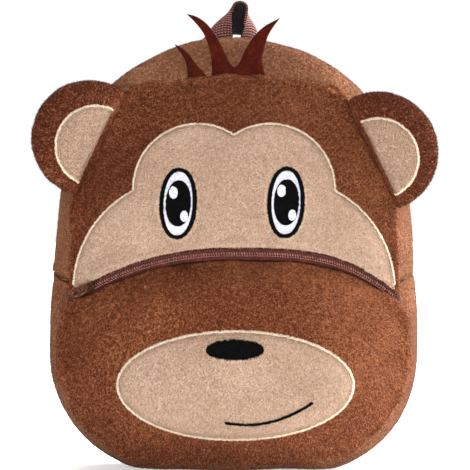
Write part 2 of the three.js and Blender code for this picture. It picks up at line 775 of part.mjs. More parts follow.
// Flat strips: a middle line with a direction across it, given thickness along the normal
function ribbonGeometry(left, right, across, thicknessAt) {
  const rows = left.length;
  const outer = [];
  const inner = [];
  for (let row = 0; row < rows; row += 1) {
    const ahead = Math.min(row + 1, rows - 1);
    const behind = Math.max(row - 1, 0);
    const middle = (i) => left[i].clone().lerp(right[i], 0.5);
    const along = middle(ahead).sub(middle(behind));
    const normal = right[row].clone().sub(left[row]).cross(along).normalize();
    const outerRow = [];
    const innerRow = [];
    for (let column = 0; column <= across; column += 1) {
      const share = column / across;
      const spot = left[row].clone().lerp(right[row], share);
      const half = thicknessAt(share) / 2;
      outerRow.push(spot.clone().addScaledVector(normal, half));
      innerRow.push(spot.addScaledVector(normal, -half));
    }
    outer.push(outerRow);
    inner.push(innerRow);
  }
  return sheetGeometry(outer, inner);
}

const vector = (x, y, z) => new THREE.Vector3(x, y, z);

// Carry loop: the front edges nearly meet, the back edges spread, and the top is a small hood
function carryLoop() {
  const crown = gussetPoint({ share: 1, side: 1 }, carryLoopWay);
  const crownRadius = widestCorners[3].radius;
  const seat = (x) => crown.z - x ** 2 / (2 * crownRadius) + 2 * seamGap;
  const edge = (line) => {
    const spots = line.map(({ x, back, z }) => vector(x, crown.y + back, z ?? seat(x)));
    return new THREE.CatmullRomCurve3(spots).getPoints(carryLoopSteps.along);
  };
  const thickness = () => webbingThickness;
  return ribbonGeometry(edge(carryLoopFront), edge(carryLoopBack), carryLoopSteps.across, thickness);
}

// Shoulder strap on one side: pad from the top of the back, adjuster, webbing to the bottom corner
function edgesOf(curve, steps, width) {
  const edges = { left: [], right: [] };
  for (let i = 0; i <= steps; i += 1) {
    const spot = curve.getPoint(i / steps);
    const across = curve.getTangent(i / steps).cross(vector(0, 1, 0)).normalize();
    edges.left.push(spot.clone().addScaledVector(across, -width / 2));
    edges.right.push(spot.clone().addScaledVector(across, width / 2));
  }
  return edges;
}

function addStrap(side, suffix) {
  const lineOf = (rows, thickness) => rows.map(({ x, y, z }) => {
    const seatedY = backY(x, z) + 2 * seamGap + thickness / 2;
    return vector(side * x, y ?? seatedY, z);
  });
  const padCurve = new THREE.CatmullRomCurve3(lineOf(strapPadLine, strapPad.thickness));
  const pad = edgesOf(padCurve, strapPad.along, strapPad.width);
  const padThickness = (share) => {
    return lerp(strapPad.edge, strapPad.thickness, Math.sin(Math.PI * share) ** strapPad.crownPower);
  };
  const padSolid = ribbonGeometry(pad.left, pad.right, strapPad.across, padThickness);
  addPart(`strap_${suffix}`, padSolid, plushBrown);

  const padEnd = padCurve.getPoint(1);
  const down = padCurve.getTangent(1);
  const across = down.clone().cross(vector(0, 1, 0)).normalize();
  const facing = across.clone().cross(down);
  const plateMiddle = padEnd.clone().addScaledVector(down, adjuster.gap + adjuster.height / 2);
  const plate = addPart(`strap_adjuster_${suffix}`, adjusterGeometry(), darkPlastic);
  plate.applyMatrix4(new THREE.Matrix4().makeBasis(across, down, facing).setPosition(plateMiddle));

  const webbingStart = padEnd.clone().addScaledVector(down, 2 * adjuster.gap + adjuster.height);
  const webbingCurve = new THREE.CatmullRomCurve3([
    webbingStart,
    webbingStart.clone().addScaledVector(down, strapWebbing.straight),
    ...lineOf(strapWebbingLine, webbingThickness),
  ]);
  const webbing = edgesOf(webbingCurve, strapWebbing.along, strapWebbing.width);
  const strip = ribbonGeometry(webbing.left, webbing.right, 1, () => webbingThickness);
  addPart(`strap_webbing_${suffix}`, strip, webbingBrown);
}

function boxShape(halfWidth, fromY, toY) {
  const corners = [[-halfWidth, fromY], [halfWidth, fromY], [halfWidth, toY], [-halfWidth, toY]];
  return new THREE.Shape(corners.map(([x, y]) => new THREE.Vector2(x, y)));
}

function adjusterGeometry() {
  const [halfWidth, halfHeight] = [adjuster.width / 2, adjuster.height / 2];
  const shape = boxShape(halfWidth, -halfHeight, halfHeight);
  for (const turn of [-1, 1]) {
    const ends = [turn * (adjuster.rail / 2), turn * (halfHeight - adjuster.rail)].sort((a, b) => a - b);
    shape.holes.push(boxShape(halfWidth - adjuster.rail, ...ends));
  }
  const geometry = new THREE.ExtrudeGeometry(shape, { depth: adjuster.thickness, bevelEnabled: false });
  return geometry.translate(0, 0, -adjuster.thickness / 2);
}

// Slider: X along the zip towards the pull's tip, Z away from the cloth. The hinge is in the bridge's slot
const hingeZ = slider.height + bridge.rise / 2 - pullDrop;

function sliderGeometry() {
  const half = slider.length / 2;
  const body = new THREE.Shape();
  body.moveTo(-half, -slider.tailHalf);
  body.lineTo(slider.shoulder, -slider.halfWidth);
  body.quadraticCurveTo(half, -slider.halfWidth, half, 0);
  body.quadraticCurveTo(half, slider.halfWidth, slider.shoulder, slider.halfWidth);
  body.lineTo(-half, slider.tailHalf);
  const settings = { bevelEnabled: false, curveSegments: smallCurveSteps.slider };
  const plate = new THREE.ExtrudeGeometry(body, { ...settings, depth: slider.height });
  const top = slider.height + bridge.rise;
  const arch = new THREE.Shape();
  arch.moveTo(-bridge.half, slider.height - bridge.sunk);
  arch.lineTo(bridge.half, slider.height - bridge.sunk);
  arch.lineTo(bridge.half, top - bridge.corner);
  arch.lineTo(bridge.half - bridge.corner, top);
  arch.lineTo(bridge.corner - bridge.half, top);
  arch.lineTo(-bridge.half, top - bridge.corner);
  const [slotLow, slotHigh] = [slider.height + bridgeSlot.low, top - bridgeSlot.high];
  arch.holes.push(boxShape(bridge.half - bridge.post, slotLow, slotHigh));
  const strip = new THREE.ExtrudeGeometry(arch, { ...settings, depth: bridge.width });
  strip.rotateX(Math.PI / 2).translate(0, bridge.width / 2, 0);
  return joined(plate, strip);
}

function pullGeometry() {
  const { length, halfWidth, neckHalf, bendAt, thickness } = pull;
  const { barHalf, half, end } = pullSlot;
  const leaf = new THREE.Shape();
  leaf.moveTo(-barHalf, -neckHalf);
  leaf.lineTo(end, -halfWidth);
  leaf.quadraticCurveTo(bendAt, -halfWidth, length, 0);
  leaf.quadraticCurveTo(bendAt, halfWidth, end, halfWidth);
  leaf.lineTo(-barHalf, neckHalf);
  const slot = new THREE.Path();
  slot.moveTo(barHalf, -half);
  slot.lineTo(end, -half);
  slot.lineTo(end, half);
  slot.lineTo(barHalf, half);
  const eye = new THREE.Path();
  eye.absellipse(pullEye.at, 0, pullEye.halfLength, pullEye.halfWidth, 0, 2 * Math.PI);
  leaf.holes.push(slot, eye);
  const settings = { depth: thickness, bevelEnabled: false, curveSegments: smallCurveSteps.pull };
  return new THREE.ExtrudeGeometry(leaf, settings).translate(0, 0, -thickness / 2);
}

// Seats a slider at a point of a zip, with its X along the zip and its Z away from the cloth
function sliderSeat(spot, along, away) {
  const across = away.clone().cross(along);
  const place = spot.clone().addScaledVector(away, slider.lift);
  return new THREE.Matrix4().makeBasis(along, across, away).setPosition(place);
}

function frontSlider() {
  const middle = (ratio) => {
    const { x, y: z } = zipLower(ratio).lerp(zipUpper(ratio), 0.5);
    return vector(x, zipStripY(ratio, x, z), z);
  };
  const step = 0.02;
  const along = middle(frontSliderAt - step).sub(middle(frontSliderAt + step)).normalize();
  const away = vector(0, 0, 1).cross(along).normalize();
  away.multiplyScalar(-Math.sign(away.y));
  const seat = new THREE.Group();
  seat.applyMatrix4(sliderSeat(middle(frontSliderAt), along, away));
  const body = new THREE.Mesh(sliderGeometry(), paintedMetal);
  body.name = "front_zip_slider";
  const tab = new THREE.Mesh(pullGeometry(), paintedMetal);
  tab.name = "front_zip_pull";
  tab.position.z = hingeZ;
  tab.rotation.y = degToRad(pullRestTilt);
  seat.add(body, tab);
  group.add(seat);
}

// Slider of the main zip, at the left end of the zip, with its pull hanging down the gusset
function mainSlider() {
  const step = 0.01;
  const way = (mainZip.from + mainZip.to) / 2;
  const station = { share: shares.gussetSeam + mainSliderAt, side: -1 };
  const spot = gussetPoint(station, way);
  const lower = gussetPoint({ ...station, share: station.share - step }, way);
  const along = lower.sub(spot).normalize();
  const outward = gussetOutward(station, way);
  const away = outward.addScaledVector(along, -outward.dot(along)).normalize();
  const body = sliderGeometry().scale(1, 1, mainSliderFlat.height);
  const tab = pullGeometry().rotateY(degToRad(pullRestTilt));
  tab.translate(mainSliderFlat.pullShift, 0, mainSliderFlat.pullHeight);
  const mesh = addPart("main_zip_slider", joined(body, tab), paintedMetal);
  mesh.applyMatrix4(sliderSeat(spot, along, away));
}

addPart("face_panel", facePanel(), plushBrown);
addPart("face_patch", facePatch(), plushBeige);
for (const oval of eyes) {
  addPart(oval.name, ovalOn(faceY, oval, ovalSteps.eye, stitchLift, stitchThickness), threadBlack);
}
addPart("front_zipper", frontZipper(), zipMaroon);
frontSlider();
addPart("pocket_panel", pocketPanel(), plushBrown);
addPart("muzzle_patch", ovalOn(pocketY, muzzle, ovalSteps.muzzle, seamGap, patchThickness), plushBeige);
addPart("nose", ovalOn(pocketY, nose, ovalSteps.nose, stitchLift, stitchThickness), threadBlack);
addPart("mouth", mouthBand(), threadBlack);
addPart("pocket_divider", pocketDivider(), lining);
gusset();
mainSlider();
addPart("back_panel", backPanel(), plushBrown);
ears.forEach(addEar);
for (const tuft of hairTufts) {
  addPart(tuft.name, hairGeometry(tuftShape(tuft)), feltBrown);
}
addPart("carry_loop", carryLoop(), webbingBrown);
addStrap(1, "right");
addStrap(-1, "left");

export default group;
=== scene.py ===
import math

import bmesh
import bpy
import numpy as np
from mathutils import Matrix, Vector
from mathutils.bvhtree import BVHTree
from mathutils.kdtree import KDTree


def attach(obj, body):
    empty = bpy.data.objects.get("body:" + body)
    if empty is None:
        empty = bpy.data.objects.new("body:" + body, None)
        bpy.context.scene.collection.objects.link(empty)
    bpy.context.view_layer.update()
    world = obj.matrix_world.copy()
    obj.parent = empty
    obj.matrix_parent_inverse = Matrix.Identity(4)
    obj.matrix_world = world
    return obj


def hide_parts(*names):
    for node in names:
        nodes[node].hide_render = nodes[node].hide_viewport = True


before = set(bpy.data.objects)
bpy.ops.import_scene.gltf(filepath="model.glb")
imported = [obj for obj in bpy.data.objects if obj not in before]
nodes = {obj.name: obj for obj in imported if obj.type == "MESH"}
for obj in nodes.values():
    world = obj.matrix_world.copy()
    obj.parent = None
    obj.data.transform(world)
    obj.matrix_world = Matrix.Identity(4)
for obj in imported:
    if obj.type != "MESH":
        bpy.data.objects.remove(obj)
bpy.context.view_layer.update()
scene = bpy.context.scene
mm = 0.001
print("frame loaded:", len(nodes), "nodes")


# Shader maths

def tint(red, green, blue):
    parts = [c / 255 for c in (red, green, blue)]
    return tuple(c / 12.92 if c < 0.04045 else ((c + 0.055) / 1.055) ** 2.4 for c in parts) + (1.0,)


class Value:
    def __init__(self, finish, socket):
        self.finish = finish
        self.socket = socket

    def __add__(self, other):
        return self.finish.maths("ADD", self, other)

    def __mul__(self, other):
        return self.finish.maths("MULTIPLY", self, other)


class Finish:
    def __init__(self, name, **sockets):
        self.material = bpy.data.materials.new(name)
        self.material.use_nodes = True
        self.tree = self.material.node_tree
        self.shader = self.tree.nodes["Principled BSDF"]
        for key, value in sockets.items():
            self.shader.inputs[key.replace("_", " ")].default_value = value

    def add(self, kind, settings=None, sockets=None, out=0):
        node = self.tree.nodes.new("ShaderNode" + kind)
        for key, value in (settings or {}).items():
            if key == "stops":
                self.setStops(node.color_ramp, value)
            else:
                setattr(node, key, value)
        for key, value in (sockets or {}).items():
            if isinstance(value, Value):
                self.tree.links.new(value.socket, node.inputs[key])
            else:
                node.inputs[key].default_value = value
        return Value(self, node.outputs[out])

    def setStops(self, ramp, stops):
        while len(ramp.elements) < len(stops):
            ramp.elements.new(1.0)
        for element, (place, colour) in zip(ramp.elements, stops):
            element.position = place
            element.color = colour

    def maths(self, operation, first, second=0.0):
        return self.add("Math", {"operation": operation}, {0: first, 1: second})

    def feed(self, key, value):
        self.tree.links.new(value.socket, self.shader.inputs[key])

    def objectPlace(self):
        return self.add("TexCoord", out="Object")

    def noise(self, place, scale, detail=2.0, rough=0.5):
        return self.add("TexNoise", None, {"Vector": place, "Scale": scale, "Detail": detail,
                                           "Roughness": rough})

    def ramp(self, share, *stops):
        return self.add("ValToRGB", {"stops": stops}, {"Fac": share})

    def bump(self, height, strength, distance):
        return self.add("Bump", None, {"Height": height, "Strength": strength, "Distance": distance})


# Finishes

def toned(dark, mid, light, **more):
    return {"dark": tint(*dark), "mid": tint(*mid), "light": tint(*light), **more}


def threeStops(look, places):
    return list(zip(places, (look["dark"], look["mid"], look["light"])))


def twoStops(dark, light, places=(0.35, 0.65)):
    return list(zip(places, (tint(*dark), tint(*light))))


def mixed(layers, weights):
    total = None
    for layer, weight in zip(layers, weights):
        total = total + layer * weight if total else layer * weight
    return total


def grained(name, noises, stops, shade=(1,), rough=None, relief=None, **sockets):
    # colour, roughness and bump out of layers of noise, each a scale, a detail and a roughness
    finish = Finish(name, **sockets)
    place = finish.objectPlace()
    layers = [finish.noise(place, *noise) for noise in noises]
    finish.feed("Base Color", finish.ramp(mixed(layers, shade), *stops))
    if rough:
        share, base = rough
        finish.feed("Roughness", layers[0] * share + base)
    if relief:
        weights, strength, distance = relief
        finish.feed("Normal", finish.bump(mixed(layers, weights), strength, distance))
    return finish


brownLook = toned((62, 23, 11), (110, 56, 32), (178, 117, 78), grain=1500.0, sheen=0.2)
# painted light: a paler, less saturated copy of the brown plush, for the light the gussets catch; the back
# panel and the straps share its colours
litSideLook = toned((68, 34, 21), (110, 66, 42), (168, 121, 88), grain=1500.0, sheen=0.2)
# painted shade: a darker copy of the plush for the lower gusset, which faces down
lowShadedLook = toned((64, 30, 17), (107, 62, 38), (165, 115, 81), grain=1500.0, sheen=0.2)
beigeLook = toned((146, 114, 93), (184, 154, 132), (209, 186, 166), grain=1700.0, sheen=0.15)
plushLayers = {"clumpScale": 0.35, "broadScale": 26.0, "shade": (0.45, 0.35, 0.2), "stops": (0.34, 0.5, 0.66),
               "relief": ((0.45, 0.35), 0.8, 1.2 * mm)}


def plushFinish(name, look, layers):
    grain = look["grain"]
    noises = [(grain, 2.0, 0.6), (grain * layers["clumpScale"],), (layers["broadScale"], 1.0)]
    return grained(name, noises, threeStops(look, layers["stops"]), layers["shade"], relief=layers["relief"],
                   Roughness=0.92, Specular_IOR_Level=0.1, Sheen_Weight=look["sheen"], Sheen_Roughness=0.45,
                   Sheen_Tint=look["light"])


def pileTones(name, look):
    # one plain colour for each tone of fibre
    return [Finish(name + key.title(), Roughness=0.8, Specular_IOR_Level=0.15, Base_Color=look[key],
                   Sheen_Weight=look["sheen"], Sheen_Roughness=0.4, Sheen_Tint=look["light"])
            for key in ("dark", "mid", "light")]


brown = plushFinish("brownPlush", brownLook, plushLayers)
litSideBrown = plushFinish("litSidePlush", litSideLook, plushLayers)
lowShadedBrown = plushFinish("lowShadedPlush", lowShadedLook, plushLayers)
beige = plushFinish("beigePlush", beigeLook, plushLayers)
brownPile = pileTones("brownPile", brownLook)
sidePile = pileTones("sidePile", litSideLook)
lowPile = pileTones("lowPile", lowShadedLook)
beigePile = pileTones("beigePile", beigeLook)


def threadFinish(name, dark, light, shine):
    return grained(name, [(900.0,)], twoStops(dark, light), rough=(0.3, 0.45), Specular_IOR_Level=shine)


blackThread = threadFinish("blackThread", (3, 3, 3), (13, 12, 12), 0.03)
whiteThread = threadFinish("whiteThread", (188, 186, 196), (222, 221, 230), 0.25)
creamThread = threadFinish("creamThread", (194, 170, 144), (226, 206, 182), 0.2)
# painted shade: the colour of the thin line of stitches just inside the patch edges
shadeLineThread = threadFinish("shadeLineThread", (128, 104, 84), (158, 130, 106), 0.2)
brownThread = threadFinish("brownThread", (70, 36, 24), (112, 66, 46), 0.2)
pinkThread = threadFinish("pinkThread", (120, 70, 62), (180, 132, 120), 0.3)

feltLook = toned((36, 8, 4), (58, 15, 7), (84, 28, 15), sheen=0.05)
felt = grained("hairFelt", [(700.0, 4.0, 0.65), (120.0,)], threeStops(feltLook, (0.3, 0.5, 0.74)), (0.6, 0.4),
               relief=((1,), 0.7, 0.6 * mm), Roughness=0.95, Specular_IOR_Level=0.06, Sheen_Weight=0.15,
               Sheen_Tint=feltLook["light"])
feltFuzz = pileTones("feltFuzz", feltLook)

webbingLook = toned((22, 5, 7), (86, 38, 36), (178, 126, 116), rib=1.9, pick=1.45, slant=1.1,
                    stops=(0.2, 0.5, 0.85), yarn=1600.0, mix=(0.3, 0.12, 0.3), base=0.35)


def wovenFinish(name, look):
    # the piece's UV map is in millimetres, across then along
    woven = Finish(name, Roughness=0.7, Specular_IOR_Level=0.2)
    uv = woven.add("UVMap")
    across = woven.add("SeparateXYZ", None, {"Vector": uv}, "X")
    along = woven.add("SeparateXYZ", None, {"Vector": uv}, "Y")
    rib = woven.maths("SINE", across * (2 * math.pi / look["rib"]))
    pick = woven.maths("SINE", along * (2 * math.pi / look["pick"]) + rib * look["slant"])
    yarn = woven.noise(woven.objectPlace(), look["yarn"])
    shade = mixed((pick, rib, yarn), look["mix"]) + look["base"]
    woven.feed("Base Color", woven.ramp(shade, *threeStops(look, look["stops"])))
    woven.feed("Normal", woven.bump(shade, 0.8, 0.6 * mm))
    return woven


webbing = wovenFinish("webbing", webbingLook)
# painted shade: a near-black copy of the webbing, for the inside of the carry loop
shadedWebbing = wovenFinish("shadedWebbing", {**webbingLook, **toned((8, 5, 6), (20, 12, 13), (38, 24, 24))})
# the straps' own darker webbing, which the carry loop also wears on its top and rear side as painted shade
strapWovenAndShade = wovenFinish("strapWovenAndShade", {**webbingLook, **toned((28, 12, 9), (74, 40, 29), (124, 80, 61))})


def coilFinish(name, dark, light):
    return grained(name, [(500.0,)], twoStops(dark, light), rough=(0.3, 0.25), Specular_IOR_Level=0.3)


tapeLook = toned((44, 16, 14), (74, 34, 28), (106, 56, 47))
tape = grained("zipTape", [(1400.0,), (160.0, 1.0)], threeStops(tapeLook, (0.3, 0.5, 0.72)), (0.7, 0.3),
               relief=((1,), 0.6, 0.4 * mm), Roughness=0.8, Specular_IOR_Level=0.12)
coil = coilFinish("zipCoil", (104, 58, 50), (164, 112, 99))
# painted shade: a darker copy of the coil for the upper row of pocket zip teeth
shadedCoil = coilFinish("zipCoilShaded", (64, 28, 24), (108, 60, 51))
enamelLook = toned((46, 20, 10), (82, 42, 24), (140, 86, 54))
enamel = grained("sliderEnamel", [(420.0, 3.0, 0.6)], threeStops(enamelLook, (0.36, 0.55, 0.74)),
                 rough=(0.4, 0.25), relief=((1,), 0.25, 0.3 * mm), Specular_IOR_Level=0.15)
plastic = grained("strapPlastic", [(180.0, 3.0), (2200.0,)], twoStops((36, 22, 18), (58, 38, 32), (0.3, 0.7)),
                  rough=(0.3, 0.35), relief=((0, 1), 0.3, 0.2 * mm), Specular_IOR_Level=0.4)
lining = grained("lining", [(1800.0, 1.0)], twoStops((74, 44, 30), (100, 64, 44)),
                 relief=((1,), 0.4, 0.3 * mm), Roughness=0.8, Specular_IOR_Level=0.15)
print("finishes made")


# Making pieces

hardEdge = math.radians(50)  # a seam or rim of a CAD wall
castEdge = math.radians(25)  # an edge of a hard piece that is rounded


def placed(name, data):
    thing = bpy.data.objects.new(name, data)
    scene.collection.objects.link(thing)
    return thing


def addPiece(name, mesh, finishes, slot, stands=(), body="bag"):
    piece = placed(name, mesh)
    for finish in finishes:
        mesh.materials.append(finish.material)
    mesh.shade_smooth()
    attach(piece, body)
    if stands:
        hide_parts(*stands)
    return piece


def mergedCopy(node):
    bm = bmesh.new()
    bm.from_mesh(nodes[node].data)
    bmesh.ops.remove_doubles(bm, verts=bm.verts, dist=1e-6)
    bmesh.ops.join_triangles(bm, faces=bm.faces[:], angle_face_threshold=1.2, angle_shape_threshold=3.1)
    return bm


def meshFrom(bm, name):
    mesh = bpy.data.meshes.new(name)
    bm.to_mesh(mesh)
    bm.free()
    return mesh


def vectorsOf(items, key):
    found = np.empty(len(items) * 3, np.float32)
    items.foreach_get(key, found)
    return found.reshape(-1, 3).astype(float)


def points(mesh):
    return vectorsOf(mesh.vertices, "co")


def normals(mesh):
    return vectorsOf(mesh.vertex_normals, "vector")


def setPoints(mesh, places):
    mesh.vertices.foreach_set("co", places.astype(np.float32).ravel())
    mesh.update()


def unit(vectors):
    return vectors / np.maximum(np.linalg.norm(vectors, axis=-1, keepdims=True), 1e-12)


def evaluated(carrier):
    return bpy.data.meshes.new_from_object(carrier.evaluated_get(bpy.context.evaluated_depsgraph_get()))


def withModifier(mesh, kind, **settings):
    # a copy of a mesh with one modifier applied
    carrier = placed("carrier", mesh)
    step = carrier.modifiers.new("step", kind)
    for key, value in settings.items():
        setattr(step, key, value)
    done = evaluated(carrier)
    bpy.data.objects.remove(carrier)
    return done


def subdivided(mesh, levels, rounds=3):
    # smooth faces that pass through a mesh's corners: its cage is pushed out until they meet them
    aim = points(mesh)
    for _ in range(rounds):
        soft = withModifier(mesh, "SUBSURF", levels=levels, render_levels=levels)
        setPoints(mesh, points(mesh) + aim - points(soft)[:len(aim)])
        bpy.data.meshes.remove(soft)
    return withModifier(mesh, "SUBSURF", levels=levels, render_levels=levels)


def swell(places, seed, wavelength, count=7):
    # smooth unevenness from a few crossing waves, about -1 to 1
    rng = np.random.default_rng(seed)
    ways = unit(rng.normal(size=(count, 3)))
    ways = ways * (2 * math.pi / (wavelength * rng.uniform(0.7, 1.5, (count, 1))))
    turns = rng.uniform(0, 2 * math.pi, count)
    return np.sin(places @ ways.T + turns).sum(1) / math.sqrt(count)


bagCore = {"share": (0.55, 0.3, 0.6), "shift": (0, 0, 0.052)}


def awayFromCore(places):
    # outward from the hollow middle of the bag
    return unit(places - (places * bagCore["share"] + bagCore["shift"]))


def treeOf(spots):
    tree = KDTree(len(spots))
    for i, spot in enumerate(spots):
        tree.insert(spot, i)
    tree.balance()
    return tree


def rimTree(node):
    # the hard edges of a node, as points to measure from
    bm = mergedCopy(node)
    rims = [e for e in bm.edges if e.calc_face_angle(0) > hardEdge]
    spots = [e.verts[0].co.lerp(e.verts[1].co, t) for e in rims for t in (0, 0.25, 0.5, 0.75)]
    bm.free()
    return treeOf(spots)


def softPanel(node, look):
    # a CAD wall as cloth: rounded rims, puckers along the seams, and shallow dents between them
    bm = mergedCopy(node)
    crease = bm.edges.layers.float.new("crease_edge")
    for edge in bm.edges:
        if edge.calc_face_angle(0) > hardEdge:
            edge[crease] = look["crease"]
    mesh = subdivided(meshFrom(bm, node + "Cloth"), look["levels"])
    places, facing = points(mesh), normals(mesh)
    tree = rimTree(node)
    toSeam = np.array([tree.find(Vector(p))[2] for p in places])
    outside = np.where((facing * awayFromCore(places)).sum(1) > 0, 1.0, -1.0)
    nearSeam = np.exp(-(toSeam / look["puckerReach"]) ** 2)
    pucker = swell(places, look["seed"], look["puckerLength"]) * nearSeam * look["pucker"]
    dent = swell(places, look["seed"] + 1, look["dentLength"]) * (1 - nearSeam) * look["dent"]
    groove = np.exp(-(toSeam / look["grooveReach"]) ** 2) * look["groove"]
    groove += np.exp(-((places[:, 2] - look["pinchZ"]) / look["pinchReach"]) ** 2) * look["pinch"]
    inward = look["tuck"] * np.where(outside > 0, 1.0, look["innerTuck"])
    setPoints(mesh, places + facing * ((pucker + dent - groove) * outside - inward)[:, None])
    return mesh


def surfaceOf(meshes, fromY=-0.2):
    # depth and outward direction where meshes are first met, seen along Y from fromY
    corners, faces = [], []
    for mesh in meshes:
        start = len(corners)
        corners += [v.co.copy() for v in mesh.vertices]
        faces += [[start + i for i in p.vertices] for p in mesh.polygons]
    tree = BVHTree.FromPolygons(corners, faces)
    side = math.copysign(1, fromY)

    def meet(x, z):
        spot, facing, _, _ = tree.ray_cast(Vector((x, fromY, z)), Vector((0, -side, 0)))
        if spot is None:  # past the rim, so the nearest point is taken
            spot, facing, _, _ = tree.find_nearest(Vector((x, side * 0.05, z)))
        return spot.y, facing if facing.y * side > 0 else -facing

    return meet


def smoothed(meet, outline, samples=14):
    # an even surface, of third order, through the part of another one that an outline covers
    low, high = outline.min(0), outline.max(0)
    middle, size = (low + high) / 2, high - low

    def terms(x, z):
        a, b = (np.asarray(x) - middle[0]) / size[0], (np.asarray(z) - middle[1]) / size[1]
        return np.stack([a ** i * b ** j for i in range(4) for j in range(4 - i)], axis=-1)

    x, z = (g.ravel() for g in np.meshgrid(*np.linspace(low, high, samples).T))
    depth = np.array([meet(a, b)[0] for a, b in zip(x, z)])
    factors = np.linalg.lstsq(terms(x, z), depth, rcond=None)[0]

    def meetSmooth(x, z, step=1e-4):
        y = float(terms(x, z) @ factors)
        slopeX = float(terms(x + step, z) @ factors) - y
        slopeZ = float(terms(x, z + step) @ factors) - y
        return y, Vector((slopeX, -step, slopeZ)).normalized()

    return meetSmooth


def onSurface(meet, spots, lift):
    hits = [meet(x, z) for x, z in spots]
    ups = np.array([h[1] for h in hits])
    places = np.array([(x, h[0], z) for (x, z), h in zip(spots, hits)])
    return places + ups * lift, ups


def repeatedMesh(name, corners, faces, tones=None):
    # the same few triangles over corners of shape (count, corners of one, 3)
    count, each = corners.shape[:2]
    index = (np.asarray(faces)[None] + (np.arange(count) * each)[:, None, None]).reshape(-1, 3)
    mesh = bpy.data.meshes.new(name)
    mesh.vertices.add(count * each)
    mesh.vertices.foreach_set("co", corners.astype(np.float32).ravel())
    mesh.loops.add(index.size)
    mesh.loops.foreach_set("vertex_index", index.astype(np.int32).ravel())
    mesh.polygons.add(len(index))
    mesh.polygons.foreach_set("loop_start", np.arange(0, index.size, 3, dtype=np.int32))
    if tones is not None:
        mesh.polygons.foreach_set("material_index", np.repeat(tones, len(faces)).astype(np.int32))
    mesh.update(calc_edges=True)
    return mesh


def joinedMesh(name, layers):
    # meshes in one, each with the number of its material
    bm = bmesh.new()
    for mesh, tone in layers:
        start = len(bm.faces)
        bm.from_mesh(mesh)
        bm.faces.ensure_lookup_table()
        for face in bm.faces[start:]:
            face.material_index = tone
        bpy.data.meshes.remove(mesh)
    return meshFrom(bm, name)


def addPile(name, mesh, look, count, seed, finishes, slot, keep, seams=None):
    # fibres of one triangle each, laid along the nap in small clumps, short beside the seams and darker there
    # as painted shade, and paler as painted light where the surface turns towards the upper right
    rng = np.random.default_rng(seed)
    mesh.calc_loop_triangles()
    faces = np.empty(len(mesh.loop_triangles) * 3, np.int32)
    mesh.loop_triangles.foreach_get("vertices", faces)
    faces = faces.reshape(-1, 3)
    places, facing = points(mesh), normals(mesh)
    a, b, c = (places[faces[:, i]] for i in range(3))
    across = np.cross(b - a, c - a)
    area = np.linalg.norm(across, axis=1) * keep((a + b + c) / 3, unit(across))
    pick = rng.choice(len(faces), count, p=area / area.sum())
    share = np.sqrt(rng.random((count, 1)))
    over = rng.random((count, 1))
    weights = np.concatenate([1 - share, share * (1 - over), share * over], axis=1)[:, :, None]
    root = (places[faces[pick]] * weights).sum(1)
    up = unit((facing[faces[pick]] * weights).sum(1))
    clump = np.stack([swell(root, seed + i, look["clump"], 9) for i in (11, 12, 13)], axis=1)
    nap = look["nap"](root) if callable(look["nap"]) else np.asarray(look["nap"])
    lay = nap + clump * look["tousle"] + rng.normal(size=(count, 3)) * look["stray"]
    lay = unit(lay - up * (lay * up).sum(1)[:, None])
    lean = np.radians(look["lean"] + rng.normal(size=(count, 1)) * look["leanSpread"])
    way = up * np.cos(lean) + lay * np.sin(lean)
    reach = look["length"] * rng.uniform(*look["lengthSpread"], (count, 1))
    toSeam = np.array([seams.find(Vector(p))[2] for p in root]) if seams else np.ones(count)
    clear = np.clip(toSeam / look["seamReach"], 0, 1)
    reach *= look["seamLeast"] + (1 - look["seamLeast"]) * clear[:, None]
    side = unit(np.cross(up, way)) * (look["width"] / 2) * rng.uniform(*look["widthSpread"], (count, 1))
    root = root - up * look["sunk"]
    corners = np.stack([root + side, root - side, root + way * reach], axis=1)
    tone = clump[:, 0] * look["clumpTone"] + rng.normal(size=count) * look["strayTone"]
    # painted shade: darker fibres beside a seam
    tone -= (1 - clear) ** 2 * look["seamShade"]
    # painted light: paler fibres where the surface turns towards the upper right
    tone += np.clip(up @ np.array(look["paintedLightWay"]) - look["paintedLightFrom"], 0, 1) * look["paintedLight"]
    tones = np.where(tone < look["darkBelow"], 0, np.where(tone < look["lightAbove"], 1, 2))
    return addPiece(name, repeatedMesh(name, corners, [(0, 1, 2)], tones), finishes, slot)


# Cut cloth and stitches, drawn in the front view as x and z

def insideOutline(spots, outline):
    x, z = spots[:, :1], spots[:, 1:]
    (ax, az), (bx, bz) = outline.T, np.roll(outline, -1, axis=0).T
    crosses = (az > z) != (bz > z)
    where = ax + (z - az) * (bx - ax) / np.where(bz == az, 1e-12, bz - az)
    return (crosses & (x < where)).sum(1) % 2 == 1


def toOutline(spots, outline):
    # distance to a closed outline, and the nearest point on it
    along = np.roll(outline, -1, axis=0) - outline
    share = ((spots[:, None] - outline) * along).sum(2) / np.maximum((along ** 2).sum(1), 1e-12)
    near = outline + np.clip(share, 0, 1)[:, :, None] * along
    gap = np.linalg.norm(spots[:, None] - near, axis=2)
    best = gap.argmin(1)
    rows = np.arange(len(spots))
    return gap[rows, best], near[rows, best]


def oval(look, grow=0.0, count=120):
    # millimetres to metres, with a power above 2 for a squarer oval
    angle = np.linspace(0, 2 * math.pi, count, endpoint=False)
    power = 2 / look.get("power", 2.0)
    wide, high = (np.sign(f) * np.abs(f) ** power for f in (np.cos(angle), np.sin(angle)))
    spots = np.stack([(look["halfWidth"] + grow) * wide, (look["halfHeight"] + grow) * high], axis=1)
    turn = math.radians(look.get("tilt", 0))
    spin = np.array([[math.cos(turn), math.sin(turn)], [-math.sin(turn), math.cos(turn)]])
    return (spots @ spin + [look["x"], look["z"]]) * mm


